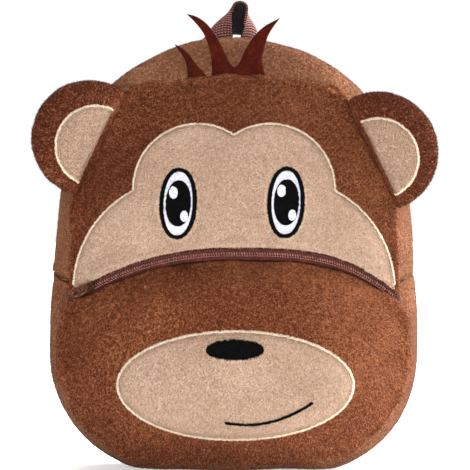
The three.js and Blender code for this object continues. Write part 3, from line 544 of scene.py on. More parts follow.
def clothCut(outline, meet, look):
    # a cut of cloth laid on a surface, with its edge pressed down and its middle raised
    low, high = outline.min(0), outline.max(0)
    counts = np.ceil((high - low) / look["step"]).astype(int)
    bm = bmesh.new()
    bmesh.ops.create_grid(bm, x_segments=int(counts[0]), y_segments=int(counts[1]), size=0.5)
    spots = low + (np.array([v.co[:2] for v in bm.verts]) + 0.5) * (high - low)
    gap, _ = toOutline(spots, outline)
    snap = look["step"] * 0.35  # corners this near to the outline are kept and drawn to it
    kept = insideOutline(spots, outline) | (gap < snap)
    for vert, spot in zip(bm.verts, spots):
        vert.co = (spot[0], 0, spot[1])
    bmesh.ops.delete(bm, geom=[v for v, k in zip(bm.verts[:], kept) if not k], context="VERTS")
    bmesh.ops.delete(bm, geom=[v for v in bm.verts if not v.link_faces], context="VERTS")
    spots = np.array([(v.co.x, v.co.z) for v in bm.verts])
    gap, near = toOutline(spots, outline)
    for vert, spot, edge, distance in zip(bm.verts, spots, near, gap):
        x, z = edge if vert.is_boundary else spot
        inward = 0.0 if vert.is_boundary else min(1.0, distance / look["roll"])
        lift = look["edgeLift"] + (look["lift"] - look["edgeLift"]) * math.sin(inward * math.pi / 2)
        vert.co = (x, meet(x, z)[0] - lift, z)
    bmesh.ops.recalc_face_normals(bm, faces=bm.faces)
    if sum(f.normal.y for f in bm.faces) > 0:
        bmesh.ops.reverse_faces(bm, faces=bm.faces)
    return bm


def thickened(bm, thickness):
    # solidify leaves the rim's faces in an order that changes from run to run, so they are sorted
    sheet = set(bm.faces)
    inner = set(bmesh.ops.solidify(bm, geom=bm.faces[:], thickness=thickness)["geom"])
    bm.faces.index_update()
    rim = [f for f in bm.faces if f not in sheet and f not in inner]
    places = [f.index for f in rim]
    rim.sort(key=lambda f: tuple(f.calc_center_median()))
    for place, face in zip(places, rim):
        face.index = place
    bm.faces.sort()


def stitches(name, rows, width, height):
    # each stitch is a slim lens of thread that rises in its middle
    starts, ends, ups = rows
    way = ends - starts
    side = unit(np.cross(way, ups)) * (width / 2)
    shoulder = 0.22  # share of the stitch that slopes at either end
    first, last = starts + way * shoulder, starts + way * (1 - shoulder)
    rise = ups * height
    corners = np.stack([starts, first - side, first + rise, first + side,
                        last - side, last + rise, last + side, ends], axis=1)
    faces = [(0, 2, 1), (0, 3, 2), (1, 2, 5), (1, 5, 4), (3, 6, 5), (3, 5, 2), (7, 4, 5), (7, 5, 6)]
    return repeatedMesh(name, corners, faces)


def spaced(line, countFor):
    # evenly spaced points along a line, as many as its length asks for
    runs = np.concatenate([[0], np.cumsum(np.linalg.norm(np.diff(line, axis=0), axis=1))])
    marks = np.linspace(0, runs[-1], countFor(runs[-1]))
    return np.stack([np.interp(marks, runs, column) for column in line.T], axis=1)


def resampled(line, pitch, closed=False):
    line = np.concatenate([line, line[:1]]) if closed else line
    spots = spaced(line, lambda length: max(3, int(round(length / pitch)) + 1))
    return spots[:-1] if closed else spots


def aheadOf(spots, closed):
    ahead = np.roll(spots, -1, axis=0) - np.roll(spots, 1, axis=0)
    if not closed:
        ahead[0], ahead[-1] = spots[1] - spots[0], spots[-1] - spots[-2]
    return unit(ahead)


def rightOf(ahead):
    return np.stack([ahead[:, 1], -ahead[:, 0]], axis=1)


def crossStitches(line, meet, look, closed=True):
    # satin stitches across a line, from its inner side to its outer one
    rng = np.random.default_rng(look["seed"])
    spots = resampled(line, look["pitch"], closed)
    ahead = aheadOf(spots, closed)
    outward = rightOf(ahead)
    fray = rng.uniform(-1, 1, (2, len(spots), 1)) * look["fray"]
    slant = ahead * look["slant"]
    starts, ups = onSurface(meet, spots - outward * (look["inside"] + fray[0]) - slant, look["startLift"])
    ends, _ = onSurface(meet, spots + outward * (look["outside"] + fray[1]) + slant, look["endLift"])
    return starts, ends, ups


def runStitches(line, meet, look, closed=False):
    # dashes along a line
    spots = resampled(line, look["pitch"], closed)
    ahead = aheadOf(spots, closed) * look["stitch"] / 2
    starts, ups = onSurface(meet, spots - ahead, look["lift"])
    ends, _ = onSurface(meet, spots + ahead, look["lift"])
    return starts, ends, ups


fillRows = {"stagger": 0.37, "least": 0.6 * mm, "fray": (-0.3, 1)}


def fillStitches(outline, meet, look):
    # upright rows of staggered stitches over a shape
    rng = np.random.default_rng(look["seed"])
    a, b = outline, np.roll(outline, -1, axis=0)
    starts, ends = [], []
    rows = np.arange(outline[:, 0].min() + look["pitch"] / 2, outline[:, 0].max(), look["pitch"])
    for i, x in enumerate(rows):
        crossing = (a[:, 0] > x) != (b[:, 0] > x)
        share = (x - a[crossing, 0]) / (b[crossing, 0] - a[crossing, 0])
        heights = np.sort(a[crossing, 1] + share * (b[crossing, 1] - a[crossing, 1]))
        low = heights[0] - rng.uniform(*fillRows["fray"]) * look["fray"]
        high = heights[-1] + rng.uniform(*fillRows["fray"]) * look["fray"]
        marks = np.arange(low + (i * fillRows["stagger"] % 1) * look["stitch"], high, look["stitch"])
        marks = marks[(marks > low + fillRows["least"]) & (marks < high - fillRows["least"])]
        marks = np.concatenate([[low], marks, [high]])
        starts += [(x, m) for m in marks[:-1]]
        ends += [(x, m) for m in marks[1:]]
    first, ups = onSurface(meet, starts, look["lift"])
    last, _ = onSurface(meet, ends, look["lift"])
    return first, last, ups


def curveThrough(corners, steps, samples=24):
    # evenly spaced points on a smooth line through a few corners
    p = np.asarray(corners, float)
    p = np.concatenate([[2 * p[0] - p[1]], p, [2 * p[-1] - p[-2]]])
    t = np.linspace(0, 1, samples, endpoint=False)[:, None]
    line = []
    for a, b, c, d in zip(p, p[1:], p[2:], p[3:]):
        line.append(0.5 * (2 * b + (c - a) * t + (2 * a - 5 * b + 4 * c - d) * t ** 2
                           + (3 * b - a - 3 * c + d) * t ** 3))
    return spaced(np.concatenate([*line, p[-2:-1]]), lambda length: steps + 1)


def bevelledCopy(node, look):
    bm = mergedCopy(node)
    sharp = [e for e in bm.edges if e.calc_face_angle(0) > castEdge]
    bmesh.ops.bevel(bm, geom=sharp, offset=look["bevel"], offset_type="OFFSET", affect="EDGES",
                    segments=look["segments"], profile=0.5, clamp_overlap=True, material=-1)
    return meshFrom(bm, node + "Rounded")


def stuffed(mesh, look, sewn):
    # a padded piece swollen by cloth simulation: the sewn points stay, and no point moves past the cap
    even = withModifier(mesh, "REMESH", mode="VOXEL", voxel_size=look["voxel"])
    start = points(even)
    carrier = placed("stuffing", even)
    held = carrier.vertex_groups.new(name="sewn")
    held.add(np.flatnonzero(sewn(start)).tolist(), 1.0, "REPLACE")
    cloth = carrier.modifiers.new("swelling", "CLOTH")
    cloth.settings.vertex_group_mass = "sewn"
    cloth.settings.use_pressure = True
    cloth.settings.uniform_pressure_force = look["pressure"]
    cloth.settings.effector_weights.gravity = 0
    cloth.settings.tension_stiffness = look["stiffness"]
    cloth.settings.compression_stiffness = look["stiffness"]
    cloth.point_cache.frame_end = look["frames"]
    for step in range(1, look["frames"] + 1):
        scene.frame_set(step)
    move = points(evaluated(carrier)) - start
    far = np.linalg.norm(move, axis=1, keepdims=True)
    move *= np.minimum(1, look["cap"] / np.maximum(far, 1e-9))
    bpy.data.objects.remove(carrier)
    scene.frame_set(1)
    setPoints(even, start + move)
    even.vertices.foreach_set("select", np.zeros(len(start), bool))
    return withModifier(even, "SUBSURF", levels=1, render_levels=1)


# Stage, light and camera

stageLook = {"floorGlow": 0.55, "ambient": 0.25,
             "lights": {"key": {"energy": 0.96, "turn": (56, 0, 5), "angle": 60},
                        "fill": {"energy": 0.47, "turn": (66, 0, -6), "angle": 60},
                        "rimRight": {"energy": 9.8, "turn": (70, 0, 110), "angle": 44},
                        "rimTop": {"energy": 3.9, "turn": (24, 0, 165), "angle": 50}}}


def makeStage(look):
    bm = bmesh.new()
    bmesh.ops.create_grid(bm, x_segments=1, y_segments=1, size=40)
    floor = placed("floor", meshFrom(bm, "floor"))
    paper = Finish("floorPaper", Roughness=0.9, Base_Color=(0.9, 0.9, 0.9, 1), Emission_Color=(1, 1, 1, 1),
                   Emission_Strength=look["floorGlow"])
    floor.data.materials.append(paper.material)
    world = bpy.data.worlds.new("studio")
    world.use_nodes = True
    tree = world.node_tree
    soft = tree.nodes["Background"]
    soft.inputs["Color"].default_value = (1, 1, 1, 1)
    soft.inputs["Strength"].default_value = look["ambient"]
    white = tree.nodes.new("ShaderNodeBackground")
    white.inputs["Color"].default_value = (1, 1, 1, 1)
    ray = tree.nodes.new("ShaderNodeLightPath")
    mix = tree.nodes.new("ShaderNodeMixShader")
    tree.links.new(ray.outputs["Is Camera Ray"], mix.inputs["Fac"])
    tree.links.new(soft.outputs[0], mix.inputs[1])
    tree.links.new(white.outputs[0], mix.inputs[2])
    tree.links.new(mix.outputs[0], tree.nodes["World Output"].inputs["Surface"])
    scene.world = world
    for name, light in look["lights"].items():
        lamp = bpy.data.lights.new(name, "SUN")
        lamp.energy = light["energy"]
        lamp.angle = math.radians(light["angle"])
        placed(name, lamp).rotation_euler = [math.radians(d) for d in light["turn"]]
    scene.view_settings.view_transform = "Standard"


cameraLook = {"place": (0.0006, -1.35, 0.1419), "lens": 169.8, "sensor": 36}


def makeCamera(look):
    lens = bpy.data.cameras.new("photoView")
    lens.lens = look["lens"]
    lens.sensor_width = look["sensor"]
    camera = placed("photoView", lens)
    camera.location = look["place"]
    camera.rotation_euler = (math.pi / 2, 0, 0)
    scene.camera = camera


makeStage(stageLook)
makeCamera(cameraLook)
print("stage set")


# Arch of the pocket zip, in millimetres

zipArch = {"endX": 97.9, "endZ": 107.0, "rise": 28.0, "leftPower": 2.2, "rightPower": 3.2}


def zipUpper(x, arch=zipArch):
    ratio = np.minimum(np.abs(x) / arch["endX"], 1)
    power = np.where(np.asarray(x) < 0, arch["leftPower"], arch["rightPower"])
    return arch["endZ"] + arch["rise"] * (1 - ratio ** power)


pocketTop = {"below": 4.9, "drop": 2.6, "reach": 10.0, "fadeX": 98.0, "fade": 14.0}


def lowerPocketTop(mesh, look):
    # the pocket's upper rim leaves the zip tape bare
    places = points(mesh)
    x, z = places[:, 0] / mm, places[:, 2] / mm
    share = np.clip(1 - (zipUpper(x) - look["below"] - z) / look["reach"], 0, 1)
    share *= np.clip((look["fadeX"] - np.abs(x)) / look["fade"], 0, 1)
    places[:, 2] -= share * look["drop"] * mm
    setPoints(mesh, places)


# Plush panels of the bag

frontCloth = {"levels": 3, "crease": 0.55, "tuck": 0.4 * mm, "innerTuck": 0.4, "pucker": 0.6 * mm,
              "puckerReach": 11 * mm, "puckerLength": 17 * mm, "dent": 0.6 * mm, "dentLength": 52 * mm,
              "groove": -1.1 * mm, "grooveReach": 3.0 * mm, "pinch": 0.0, "pinchZ": 114 * mm,
              "pinchReach": 9 * mm}
hiddenCloth = {**frontCloth, "levels": 2}
plainCloth = {**hiddenCloth, "tuck": 0.0, "pucker": 0.0, "dent": 0.0, "groove": 0.0}
panelLooks = {"face_panel": {**frontCloth, "seed": 21},
              "pocket_panel": {**frontCloth, "seed": 31, "pucker": 0.7 * mm},
              "gusset_upper_front": {**hiddenCloth, "seed": 41, "pucker": 0.5 * mm, "puckerReach": 9 * mm,
                                     "groove": 1.0 * mm, "pinch": 0.8 * mm},
              "gusset_upper_back": {**hiddenCloth, "seed": 51, "pucker": 0.3 * mm, "puckerReach": 6 * mm,
                                    "groove": 0.5 * mm},
              "gusset_lower": {**hiddenCloth, "seed": 61, "groove": 0.9 * mm},
              "back_panel": {**hiddenCloth, "seed": 71, "dent": 0.8 * mm, "dentLength": 70 * mm,
                             "groove": 0.0}}
clothOf = {"face_panel": brown, "pocket_panel": brown, "gusset_lower": lowShadedBrown}
panels = {}
for node, look in panelLooks.items():
    panels[node] = softPanel(node, look)
    if node == "pocket_panel":
        lowerPocketTop(panels[node], pocketTop)
    addPiece(node + "_cloth", panels[node], [clothOf.get(node, litSideBrown)], "plush_brown", [node])
divider = softPanel("pocket_divider", {**plainCloth, "seed": 81})
addPiece("pocket_divider_cloth", divider, [lining], "lining", ["pocket_divider"])
onFace = surfaceOf([panels["face_panel"]])
onPocket = surfaceOf([panels["pocket_panel"]])
print("panels made")


# Beige patches

facePatch = {"brow": (21.5, 169.7, 38.0), "browEnd": -1.5, "cheek": (29.2, 109.0, 66.35),
             "cheekArc": (61.9, 3.0), "overZip": 0.3, "step": 1.6 * mm, "edgeLift": 0.2 * mm,
             "lift": 1.3 * mm, "roll": 4 * mm, "thickness": 0.6 * mm}
muzzlePatch = {"x": 0.9, "z": 54.4, "halfWidth": 68.8, "halfHeight": 32.0, "step": 1.6 * mm,
               "edgeLift": 0.2 * mm, "lift": 1.6 * mm, "roll": 5 * mm, "thickness": 0.6 * mm}


def facePatchOutline(look):
    # brow and cheek arcs of the right half, mirrored, closed along the zip; with the open upper edge
    def arc(circle, start, end, count):
        x, z, radius = circle
        angle = np.radians(np.linspace(start, end, count))
        return np.stack([x + radius * np.cos(angle), z + radius * np.sin(angle)], axis=1)

    start = math.degrees(math.acos(-look["brow"][0] / look["brow"][2]))
    half = np.concatenate([arc(look["brow"], start, look["browEnd"], 60),
                           arc(look["cheek"], *look["cheekArc"], 50)])
    upper = np.concatenate([half[::-1] * [-1, 1], half[1:]])
    x = np.linspace(half[-1, 0], -half[-1, 0], 120)
    lower = np.stack([x, zipUpper(x) - look["overZip"]], axis=1)
    return np.concatenate([upper, lower]) * mm, upper * mm


def layPatch(name, node, outline, meet, look):
    bm = clothCut(outline, meet, look)
    thickened(bm, look["thickness"])
    mesh = meshFrom(bm, name)
    addPiece(name, mesh, [beige], "plush_beige", [node])
    return mesh


patchOutline, patchUpperEdge = facePatchOutline(facePatch)
muzzleOutline = oval(muzzlePatch)
faceMesh = layPatch("face_patch_cloth", "face_patch", patchOutline, onFace, facePatch)
muzzleMesh = layPatch("muzzle_patch_cloth", "muzzle_patch", muzzleOutline, onPocket, muzzlePatch)
onFacePatch = surfaceOf([panels["face_panel"], faceMesh])
onMuzzle = surfaceOf([panels["pocket_panel"], muzzleMesh])

edgeSatin = {"pitch": 0.4 * mm, "outside": 0.7 * mm, "fray": 0.35 * mm, "slant": 0.2 * mm,
             "startLift": 0.4 * mm, "endLift": 0.25 * mm, "width": 0.6 * mm, "height": 0.3 * mm, "seed": 5}
# painted shade: a thin darker line of stitches just inside each patch edge
shadeLine = {"in": 1.3 * mm, "pitch": 1.1 * mm, "stitch": 0.9 * mm, "lift": 0.2 * mm, "width": 0.5 * mm,
             "height": 0.25 * mm}


def edgePatch(name, line, meet, closed, inside):
    # cream satin over the edge, and a run of darker thread just inside it that paints the shade between the
    # satin and the plush
    look = {**edgeSatin, "inside": inside * mm}
    satin = stitches("satin", crossStitches(line, meet, look, closed), look["width"], look["height"])
    inner = line - rightOf(aheadOf(line, closed)) * (shadeLine["in"] + look["inside"])
    rows = runStitches(inner, meet, shadeLine, closed)
    run = stitches("run", rows, shadeLine["width"], shadeLine["height"])
    addPiece(name, joinedMesh(name, [(satin, 0), (run, 1)]), [creamThread, shadeLineThread], "plush_beige")


edgePatch("face_patch_edge", patchUpperEdge[::-1], onFacePatch, False, 0.8)
edgePatch("muzzle_patch_edge", muzzleOutline, onMuzzle, True, 1.1)
print("patches made")


# Embroidery

eyeLook = {"white": (8.4, 18.7), "pupil": (7.3, 13.5), "pupilShift": (0.2, 0.0), "power": 2.15,
           "shines": [(2.4, 3.5), (2.1, 3.2)], "underIn": 0.5, "edgeDrop": 0.1, "fillLift": 0.05,
           "holeGrow": 1.2, "disc": {"step": 1.2 * mm, "roll": 2 * mm}, "layers": (0.3, 0.5, 1.0, 1.5, 1.5),
           "fill": {"pitch": 0.42 * mm, "stitch": 4.2 * mm, "fray": 0.3 * mm},
           "ring": {"pitch": 0.4 * mm, "inside": 1.3 * mm, "outside": 1.4 * mm, "fray": 0.35 * mm,
                    "slant": 0.0, "startLift": 1.0 * mm, "endLift": 0.4 * mm},
           "thread": 0.6 * mm, "rise": 0.28 * mm}
eyes = [{"node": "eye_left", "x": -32.8, "z": 160.4, "halfWidth": 11.4, "halfHeight": 21.2, "tilt": -2.4,
         "shineAt": [(-2.6, 6.3), (3.7, -7.6)], "seed": 91},
        {"node": "eye_right", "x": 30.5, "z": 161.0, "halfWidth": 11.4, "halfHeight": 21.2, "tilt": -2.4,
         "shineAt": [(-2.7, 6.8), (3.5, -7.5)], "seed": 97}]


def makeEye(eye, look):
    def part(size, shift=(0, 0)):
        return oval({"x": eye["x"] + shift[0], "z": eye["z"] + shift[1], "halfWidth": size[0],
                     "halfHeight": size[1], "tilt": eye["tilt"], "power": look["power"]}, count=96)

    whole = (eye["halfWidth"], eye["halfHeight"])
    meet = smoothed(onFacePatch, part(whole))
    shapes = [part([h - look["underIn"] for h in whole]), part(look["white"]),
              part(look["pupil"], look["pupilShift"])]
    shapes += [part(size, at) for size, at in zip(look["shines"], eye["shineAt"])]
    tones = (0, 1, 0, 1, 1)
    layers = []
    for i, (shape, tone, height) in enumerate(zip(shapes, tones, look["layers"])):
        under = {**look["disc"], "edgeLift": (height - look["edgeDrop"]) * mm, "lift": height * mm}
        layers.append((meshFrom(clothCut(shape, meet, under), "under"), tone))
        if i:
            fill = {**look["fill"], "lift": (height + look["fillLift"]) * mm, "seed": eye["seed"] + i}
            rows = fillStitches(shape, meet, fill)
            layers.append((stitches("fill", rows, look["thread"], look["rise"]), tone))
    middle = part([(a + b) / 2 for a, b in zip(whole, look["white"])])
    ring = crossStitches(middle, meet, {**look["ring"], "seed": eye["seed"]})
    layers.append((stitches("ring", ring, look["thread"], look["rise"]), 0))
    name = eye["node"] + "_satin"
    addPiece(name, joinedMesh(name, layers), [blackThread, whiteThread], "thread_black", [eye["node"]])


for eye in eyes:
    makeEye(eye, eyeLook)

noseLook = {"x": 0.6, "z": 75.6, "halfWidth": 16.6, "halfHeight": 5.8, "power": 2.1, "underIn": 0.4,
            "holeGrow": 0.5, "thread": 0.6 * mm, "rise": 0.3 * mm,
            "disc": {"step": 1.1 * mm, "edgeLift": 0.2 * mm, "lift": 0.8 * mm, "roll": 2 * mm},
            "fill": {"pitch": 0.42 * mm, "stitch": 4.5 * mm, "fray": 0.9 * mm, "lift": 0.8 * mm, "seed": 101}}


def makeNose(look):
    meet = smoothed(onMuzzle, oval(look))
    under = meshFrom(clothCut(oval(look, -look["underIn"]), meet, look["disc"]), "under")
    fill = stitches("fill", fillStitches(oval(look), meet, look["fill"]), look["thread"], look["rise"])
    mesh = joinedMesh("nose", [(under, 0), (fill, 0)])
    addPiece("nose_satin", mesh, [blackThread], "thread_black", ["nose"])


mouthLook = {"fromX": -5.0, "toX": 45.3, "lowX": 6.8, "lowZ": 32.0, "rise": 0.00858, "steps": 80,
             "satin": {"pitch": 0.34 * mm, "inside": 0.85 * mm, "outside": 0.85 * mm, "fray": 0.3 * mm,
                       "slant": 0.4 * mm, "startLift": 0.5 * mm, "endLift": 0.5 * mm, "seed": 111},
             "thread": 0.7 * mm, "height": 0.6 * mm}


def makeMouth(look):
    x = np.linspace(look["fromX"], look["toX"], look["steps"])
    line = np.stack([x, look["lowZ"] + look["rise"] * (x - look["lowX"]) ** 2], axis=1) * mm
    rows = crossStitches(line, onMuzzle, look["satin"], False)
    mesh = stitches("mouth_satin", rows, look["thread"], look["height"])
    addPiece("mouth_satin", mesh, [blackThread], "thread_black", ["mouth"])


makeNose(noseLook)
makeMouth(mouthLook)
print("embroidery made")


# Stuffed ears

seam = {"start": np.array([96.7, 164.4]), "along": np.array([-0.4461, 0.8950]),
        "out": np.array([0.8950, 0.4461]), "run": range(-4, 76), "depths": range(-20, -40, -1)}
earLook = {"voxel": 2.6 * mm, "pressure": 4.0, "stiffness": 12.0, "frames": 20, "cap": 3.0 * mm,
           "shrink": -0.3 * mm, "shrinkFrom": 3, "tuckBelow": 2.0, "tuckIn": 5.0, "tuckBack": 4.0,
           "rearSlope": 2, "sewnBelow": 5.0, "pileFrom": -6, "patchRadius": 24.0, "patchBase": 1.2,
           "patch": {"step": 1.2 * mm, "edgeLift": 0.2 * mm, "lift": 1.2 * mm, "roll": 3 * mm,
                     "thickness": 0.6 * mm}}
ears = [{"name": "right", "side": 1, "along": 29.0, "patchDrop": 3.6},
        {"name": "left", "side": -1, "along": 36.2, "patchDrop": 2.4}]
earMeshes = {}


def earOut(places, side):
    # millimetres outward from the seam that an ear is sewn into
    flat = places[:, [0, 2]] / mm * [side, 1]
    return (flat - seam["start"]) @ seam["out"]


def makeEar(ear, look):
    node = "ear_" + ear["name"]
    slim = meshFrom(mergedCopy(node), node + "Slim")
    places, out = points(slim), earOut(points(slim), ear["side"])
    places -= normals(slim) * look["shrink"] * (out > look["shrinkFrom"])[:, None]
    # only the rear edge of the sewn end slips into the seam
    rear = np.clip(normals(slim)[:, 1] * look["rearSlope"], 0, 1)
    tucked = np.clip(1 - out / look["tuckBelow"], 0, 1) * rear
    outX, outZ = seam["out"] * look["tuckIn"]
    inward = np.array([-outX * ear["side"], look["tuckBack"], -outZ])
    setPoints(slim, places + tucked[:, None] * inward * mm)
    mesh = stuffed(slim, look, lambda p: earOut(p, ear["side"]) < look["sewnBelow"])
    piece = addPiece(node + "_stuffed", mesh, [brown], "plush_brown", [node])
    earMeshes[ear["name"]] = mesh
    centre = seam["start"] + seam["along"] * (ear["along"] - ear["patchDrop"])
    angle = np.linspace(math.asin(look["patchBase"] / look["patchRadius"]), math.pi, 60)
    arc = np.cos(angle)[:, None] * seam["along"] + np.sin(angle)[:, None] * seam["out"]
    outline = (centre + arc * look["patchRadius"]) * [ear["side"], 1] * mm
    if ear["side"] > 0:
        outline = outline[::-1]
    patch = "ear_patch_" + ear["name"]
    cloth = layPatch(patch + "_cloth", patch, outline, surfaceOf([mesh]), look["patch"])
    edgePatch(patch + "_edge", outline, surfaceOf([mesh, cloth]), False, 1.1)
    return outline, cloth


earPatches = {ear["name"]: makeEar(ear, earLook) for ear in ears}
print("ears made")


# Felt hair: each spike is a sheet between two edges of x and z, from the foot to the tip

hairLook = {"y": -23.9, "thickness": 1.5, "rows": 44, "columns": 12, "bendFrom": 238.0, "bend": -0.0022,
            "taper": 16.0, "edgePower": 0.3}
hairTufts = {
    "hair_tuft_main": [
        {"left": [(-12.9, 236.2), (-13.5, 246.1), (-15.0, 254.1), (-18.1, 262.1), (-22.9, 268.6),
                  (-28.4, 274.0)],
         "right": [(1.2, 236.6), (0.8, 241.5), (-2.4, 245.0), (-7.4, 255.2), (-11.9, 262.8), (-17.2, 269.0),
                   (-22.9, 272.6), (-28.4, 274.0)]},
        {"left": [(-0.2, 236.6), (0.2, 241.5), (3.5, 245.4), (7.0, 253.0), (12.3, 261.2), (18.8, 267.0),
                  (27.5, 271.6)],
         "right": [(19.0, 236.2), (17.0, 246.5), (17.9, 252.0), (20.0, 260.0), (23.2, 265.8),
                   (27.5, 271.6)]}],
    "hair_tuft_small": [
        {"left": [(-27.4, 236.2), (-28.7, 244.6), (-31.6, 250.4), (-35.6, 256.0)],
         "right": [(-16.6, 236.6), (-18.6, 239.6), (-22.9, 244.4), (-26.6, 249.4), (-31.0, 253.4),
                   (-35.6, 256.0)]}]}


def makeTuft(node, spikes, look):
    # a front and a back layer that meet along the edges and thin out to the tip
    bm = bmesh.new()
    for spike in spikes:
        left, right = (curveThrough(spike[key], look["rows"]) for key in ("left", "right"))
        for layer in (-0.5, 0.5):
            made = bmesh.ops.create_grid(bm, x_segments=look["columns"], y_segments=look["rows"], size=0.5)
            for vert in made["verts"]:
                across, up = vert.co.x + 0.5, int(round((vert.co.y + 0.5) * look["rows"]))
                x, z = left[up] * (1 - across) + right[up] * across
                slim = min(1.0, up, math.hypot(x - left[-1][0], z - left[-1][1]) / look["taper"])
                edge = max(0.0, math.sin(math.pi * across)) ** look["edgePower"]
                lean = look["bend"] * max(0.0, z - look["bendFrom"]) ** 2 / 2
                vert.co = (x * mm, (look["y"] + lean + layer * look["thickness"] * slim * edge) * mm, z * mm)
    bmesh.ops.remove_doubles(bm, verts=bm.verts, dist=0.02 * mm)
    bmesh.ops.recalc_face_normals(bm, faces=bm.faces)
    mesh = meshFrom(bm, node + "Felt")
    addPiece(node + "_felt", mesh, [felt], "felt", [node])
    return mesh


hairMeshes = {node: makeTuft(node, spikes, hairLook) for node, spikes in hairTufts.items()}
print("hair made")


# Zips, with coils that follow their tapes

coilLook = {"below": 2.9, "fromX": -83.0, "toX": 96.0, "steps": 400, "pitch": 1.5 * mm, "rows": 0.95 * mm,
            "stagger": 0.25, "slant": 0.35 * mm, "half": (0.5 * mm, 0.95 * mm, 0.6 * mm), "lift": 0.3 * mm,
            "stitchRows": 2.4 * mm, "thread": 0.5 * mm, "rise": 0.3 * mm,
            "stitch": {"pitch": 1.5 * mm, "stitch": 1.15 * mm, "lift": 0.15 * mm}}


def beads(name, centres, ways, sides, ups, half):
    # small rounded teeth: two rings of corners between two ends
    along, across, up = (v[:, None] * h for v, h in zip((ways, sides, ups), half))
    waist, girth = 0.6, 0.85
    corners = [centres[:, None] - across]
    for share in (-waist, waist):
        for turn in np.radians([0, 60, 120, 180, 240, 300]):
            ring = (along * math.cos(turn) + up * math.sin(turn)) * girth
            corners.append(centres[:, None] + across * share + ring)
    corners.append(centres[:, None] + across)
    faces = []
    for i in range(6):
        j = (i + 1) % 6
        faces += [(0, 1 + j, 1 + i), (1 + i, 1 + j, 7 + i), (1 + j, 7 + j, 7 + i), (7 + i, 7 + j, 13)]
    return repeatedMesh(name, np.concatenate(corners, axis=1), faces)


def coilRow(line, ways, sides, ups, look):
    # two staggered rows of slanted teeth along a line in space
    rows = []
    for side in (-1, 1):
        shift = line + sides * look["rows"] * side + ways * look["pitch"] * look["stagger"] * side
        slanted = unit(sides * side + ways * look["slant"] / look["half"][1])
        rows.append(beads("teeth", shift + ups * look["lift"], unit(np.cross(slanted, ups)), slanted, ups,
                          look["half"]))
    return rows


def smoothedAlong(meet, line, span=9):
    # the depth below a line, evened out over its neighbours
    depth = np.array([meet(*spot)[0] for spot in line])
    ups = np.array([meet(*spot)[1] for spot in line])
    kernel = np.ones(span) / span
    pad = span // 2
    even = np.convolve(np.pad(depth, pad, "edge"), kernel, "valid")
    soft = np.stack([np.convolve(np.pad(u, pad, "edge"), kernel, "valid") for u in ups.T], axis=1)
    tree = treeOf([(x, 0, z) for x, z in line])

    def meetEven(x, z):
        near = tree.find((x, 0, z))[1]
        return even[near], Vector(soft[near]).normalized()

    return meetEven


zipTape = softPanel("front_zipper", {**plainCloth, "crease": 0.8, "seed": 85})
onTape = surfaceOf([zipTape])


def makePocketZip(look):
    addPiece("front_zipper_tape", zipTape, [tape], "zip_tape", ["front_zipper"])
    x = np.linspace(look["fromX"], look["toX"], look["steps"])
    line = resampled(np.stack([x, zipUpper(x) - look["below"]], axis=1) * mm, look["pitch"])
    meet = smoothedAlong(onTape, line)
    places, ups = onSurface(meet, line, 0.0)
    ways = aheadOf(places, False)
    sides = unit(np.cross(ups, ways))
    teeth = coilRow(places, ways, sides, ups, look)
    # the upper row of teeth wears the darker coil, painted shade under the patch edge
    addPiece("front_zipper_coil", joinedMesh("coil", list(zip(teeth, (0, 1)))), [coil, shadedCoil], "zip_tape")
    outward = rightOf(aheadOf(line, False))
    run = runStitches(line + outward * look["stitchRows"], onTape, look["stitch"])
    mesh = stitches("run", run, look["thread"], look["rise"])
    addPiece("front_zipper_stitching", mesh, [pinkThread], "zip_tape")


makePocketZip(coilLook)

mainZip = {"core": 60.0, "columns": 4, "steps": 420, "lift": 0.3 * mm, "castFrom": 10 * mm}


def makeMainZip(look):
    # the tape is a closed strip: its corners are sorted round the bag, and the coil runs along its middle
    mesh = softPanel("main_zipper", {**plainCloth, "crease": 0.8, "seed": 86})
    addPiece("main_zipper_tape", mesh, [tape], "zip_tape", ["main_zipper"])
    corners = points(meshFrom(mergedCopy("main_zipper"), "strip"))
    turn = np.arctan2(corners[:, 0], corners[:, 2] - look["core"] * mm)
    rows = corners[np.argsort(turn)].reshape(-1, look["columns"], 3)
    middles = rows.mean(1)
    line = curveThrough(middles, look["steps"])
    ways = aheadOf(line, False)
    sides = np.tile([0.0, 1.0, 0.0], (len(line), 1))
    ups = unit(np.cross(sides, ways))
    ups *= np.sign((ups * awayFromCore(line)).sum(1))[:, None]
    tree = BVHTree.FromPolygons([v.co for v in mesh.vertices], [p.vertices[:] for p in mesh.polygons])
    hits = [tree.ray_cast(Vector(p + u * look["castFrom"]), Vector(-u))[0] for p, u in zip(line, ups)]
    kept = np.array([h is not None for h in hits])
    places = np.array([h for h in hits if h is not None]) + ups[kept] * look["lift"]
    teeth = coilRow(places, ways[kept], sides[kept], ups[kept], coilLook)
    addPiece("main_zipper_coil", joinedMesh("coil", [(t, 0) for t in teeth]), [coil], "zip_tape")


makeMainZip(mainZip)
print("zips made")


# Slider, pull and adjusters

castLook = {"bevel": 0.35 * mm, "segments": 2}
sunkBy = {"main_zip_slider": (0.7, 0, 0)}  # pressed into the pile
for node, finish, slot, body in (("front_zip_slider", enamel, "slider_metal", "bag"),
                                 ("front_zip_pull", enamel, "slider_metal", "front_pull"),
                                 ("main_zip_slider", enamel, "slider_metal", "bag"),
                                 ("strap_adjuster_left", plastic, "strap_plastic", "bag"),
                                 ("strap_adjuster_right", plastic, "strap_plastic", "bag")):
    mesh = bevelledCopy(node, castLook)
    setPoints(mesh, points(mesh) + np.array(sunkBy.get(node, (0, 0, 0))) * mm)
    addPiece(node + "_cast", mesh, [finish], slot, [node], body)


# Webbing of the carry loop and the straps

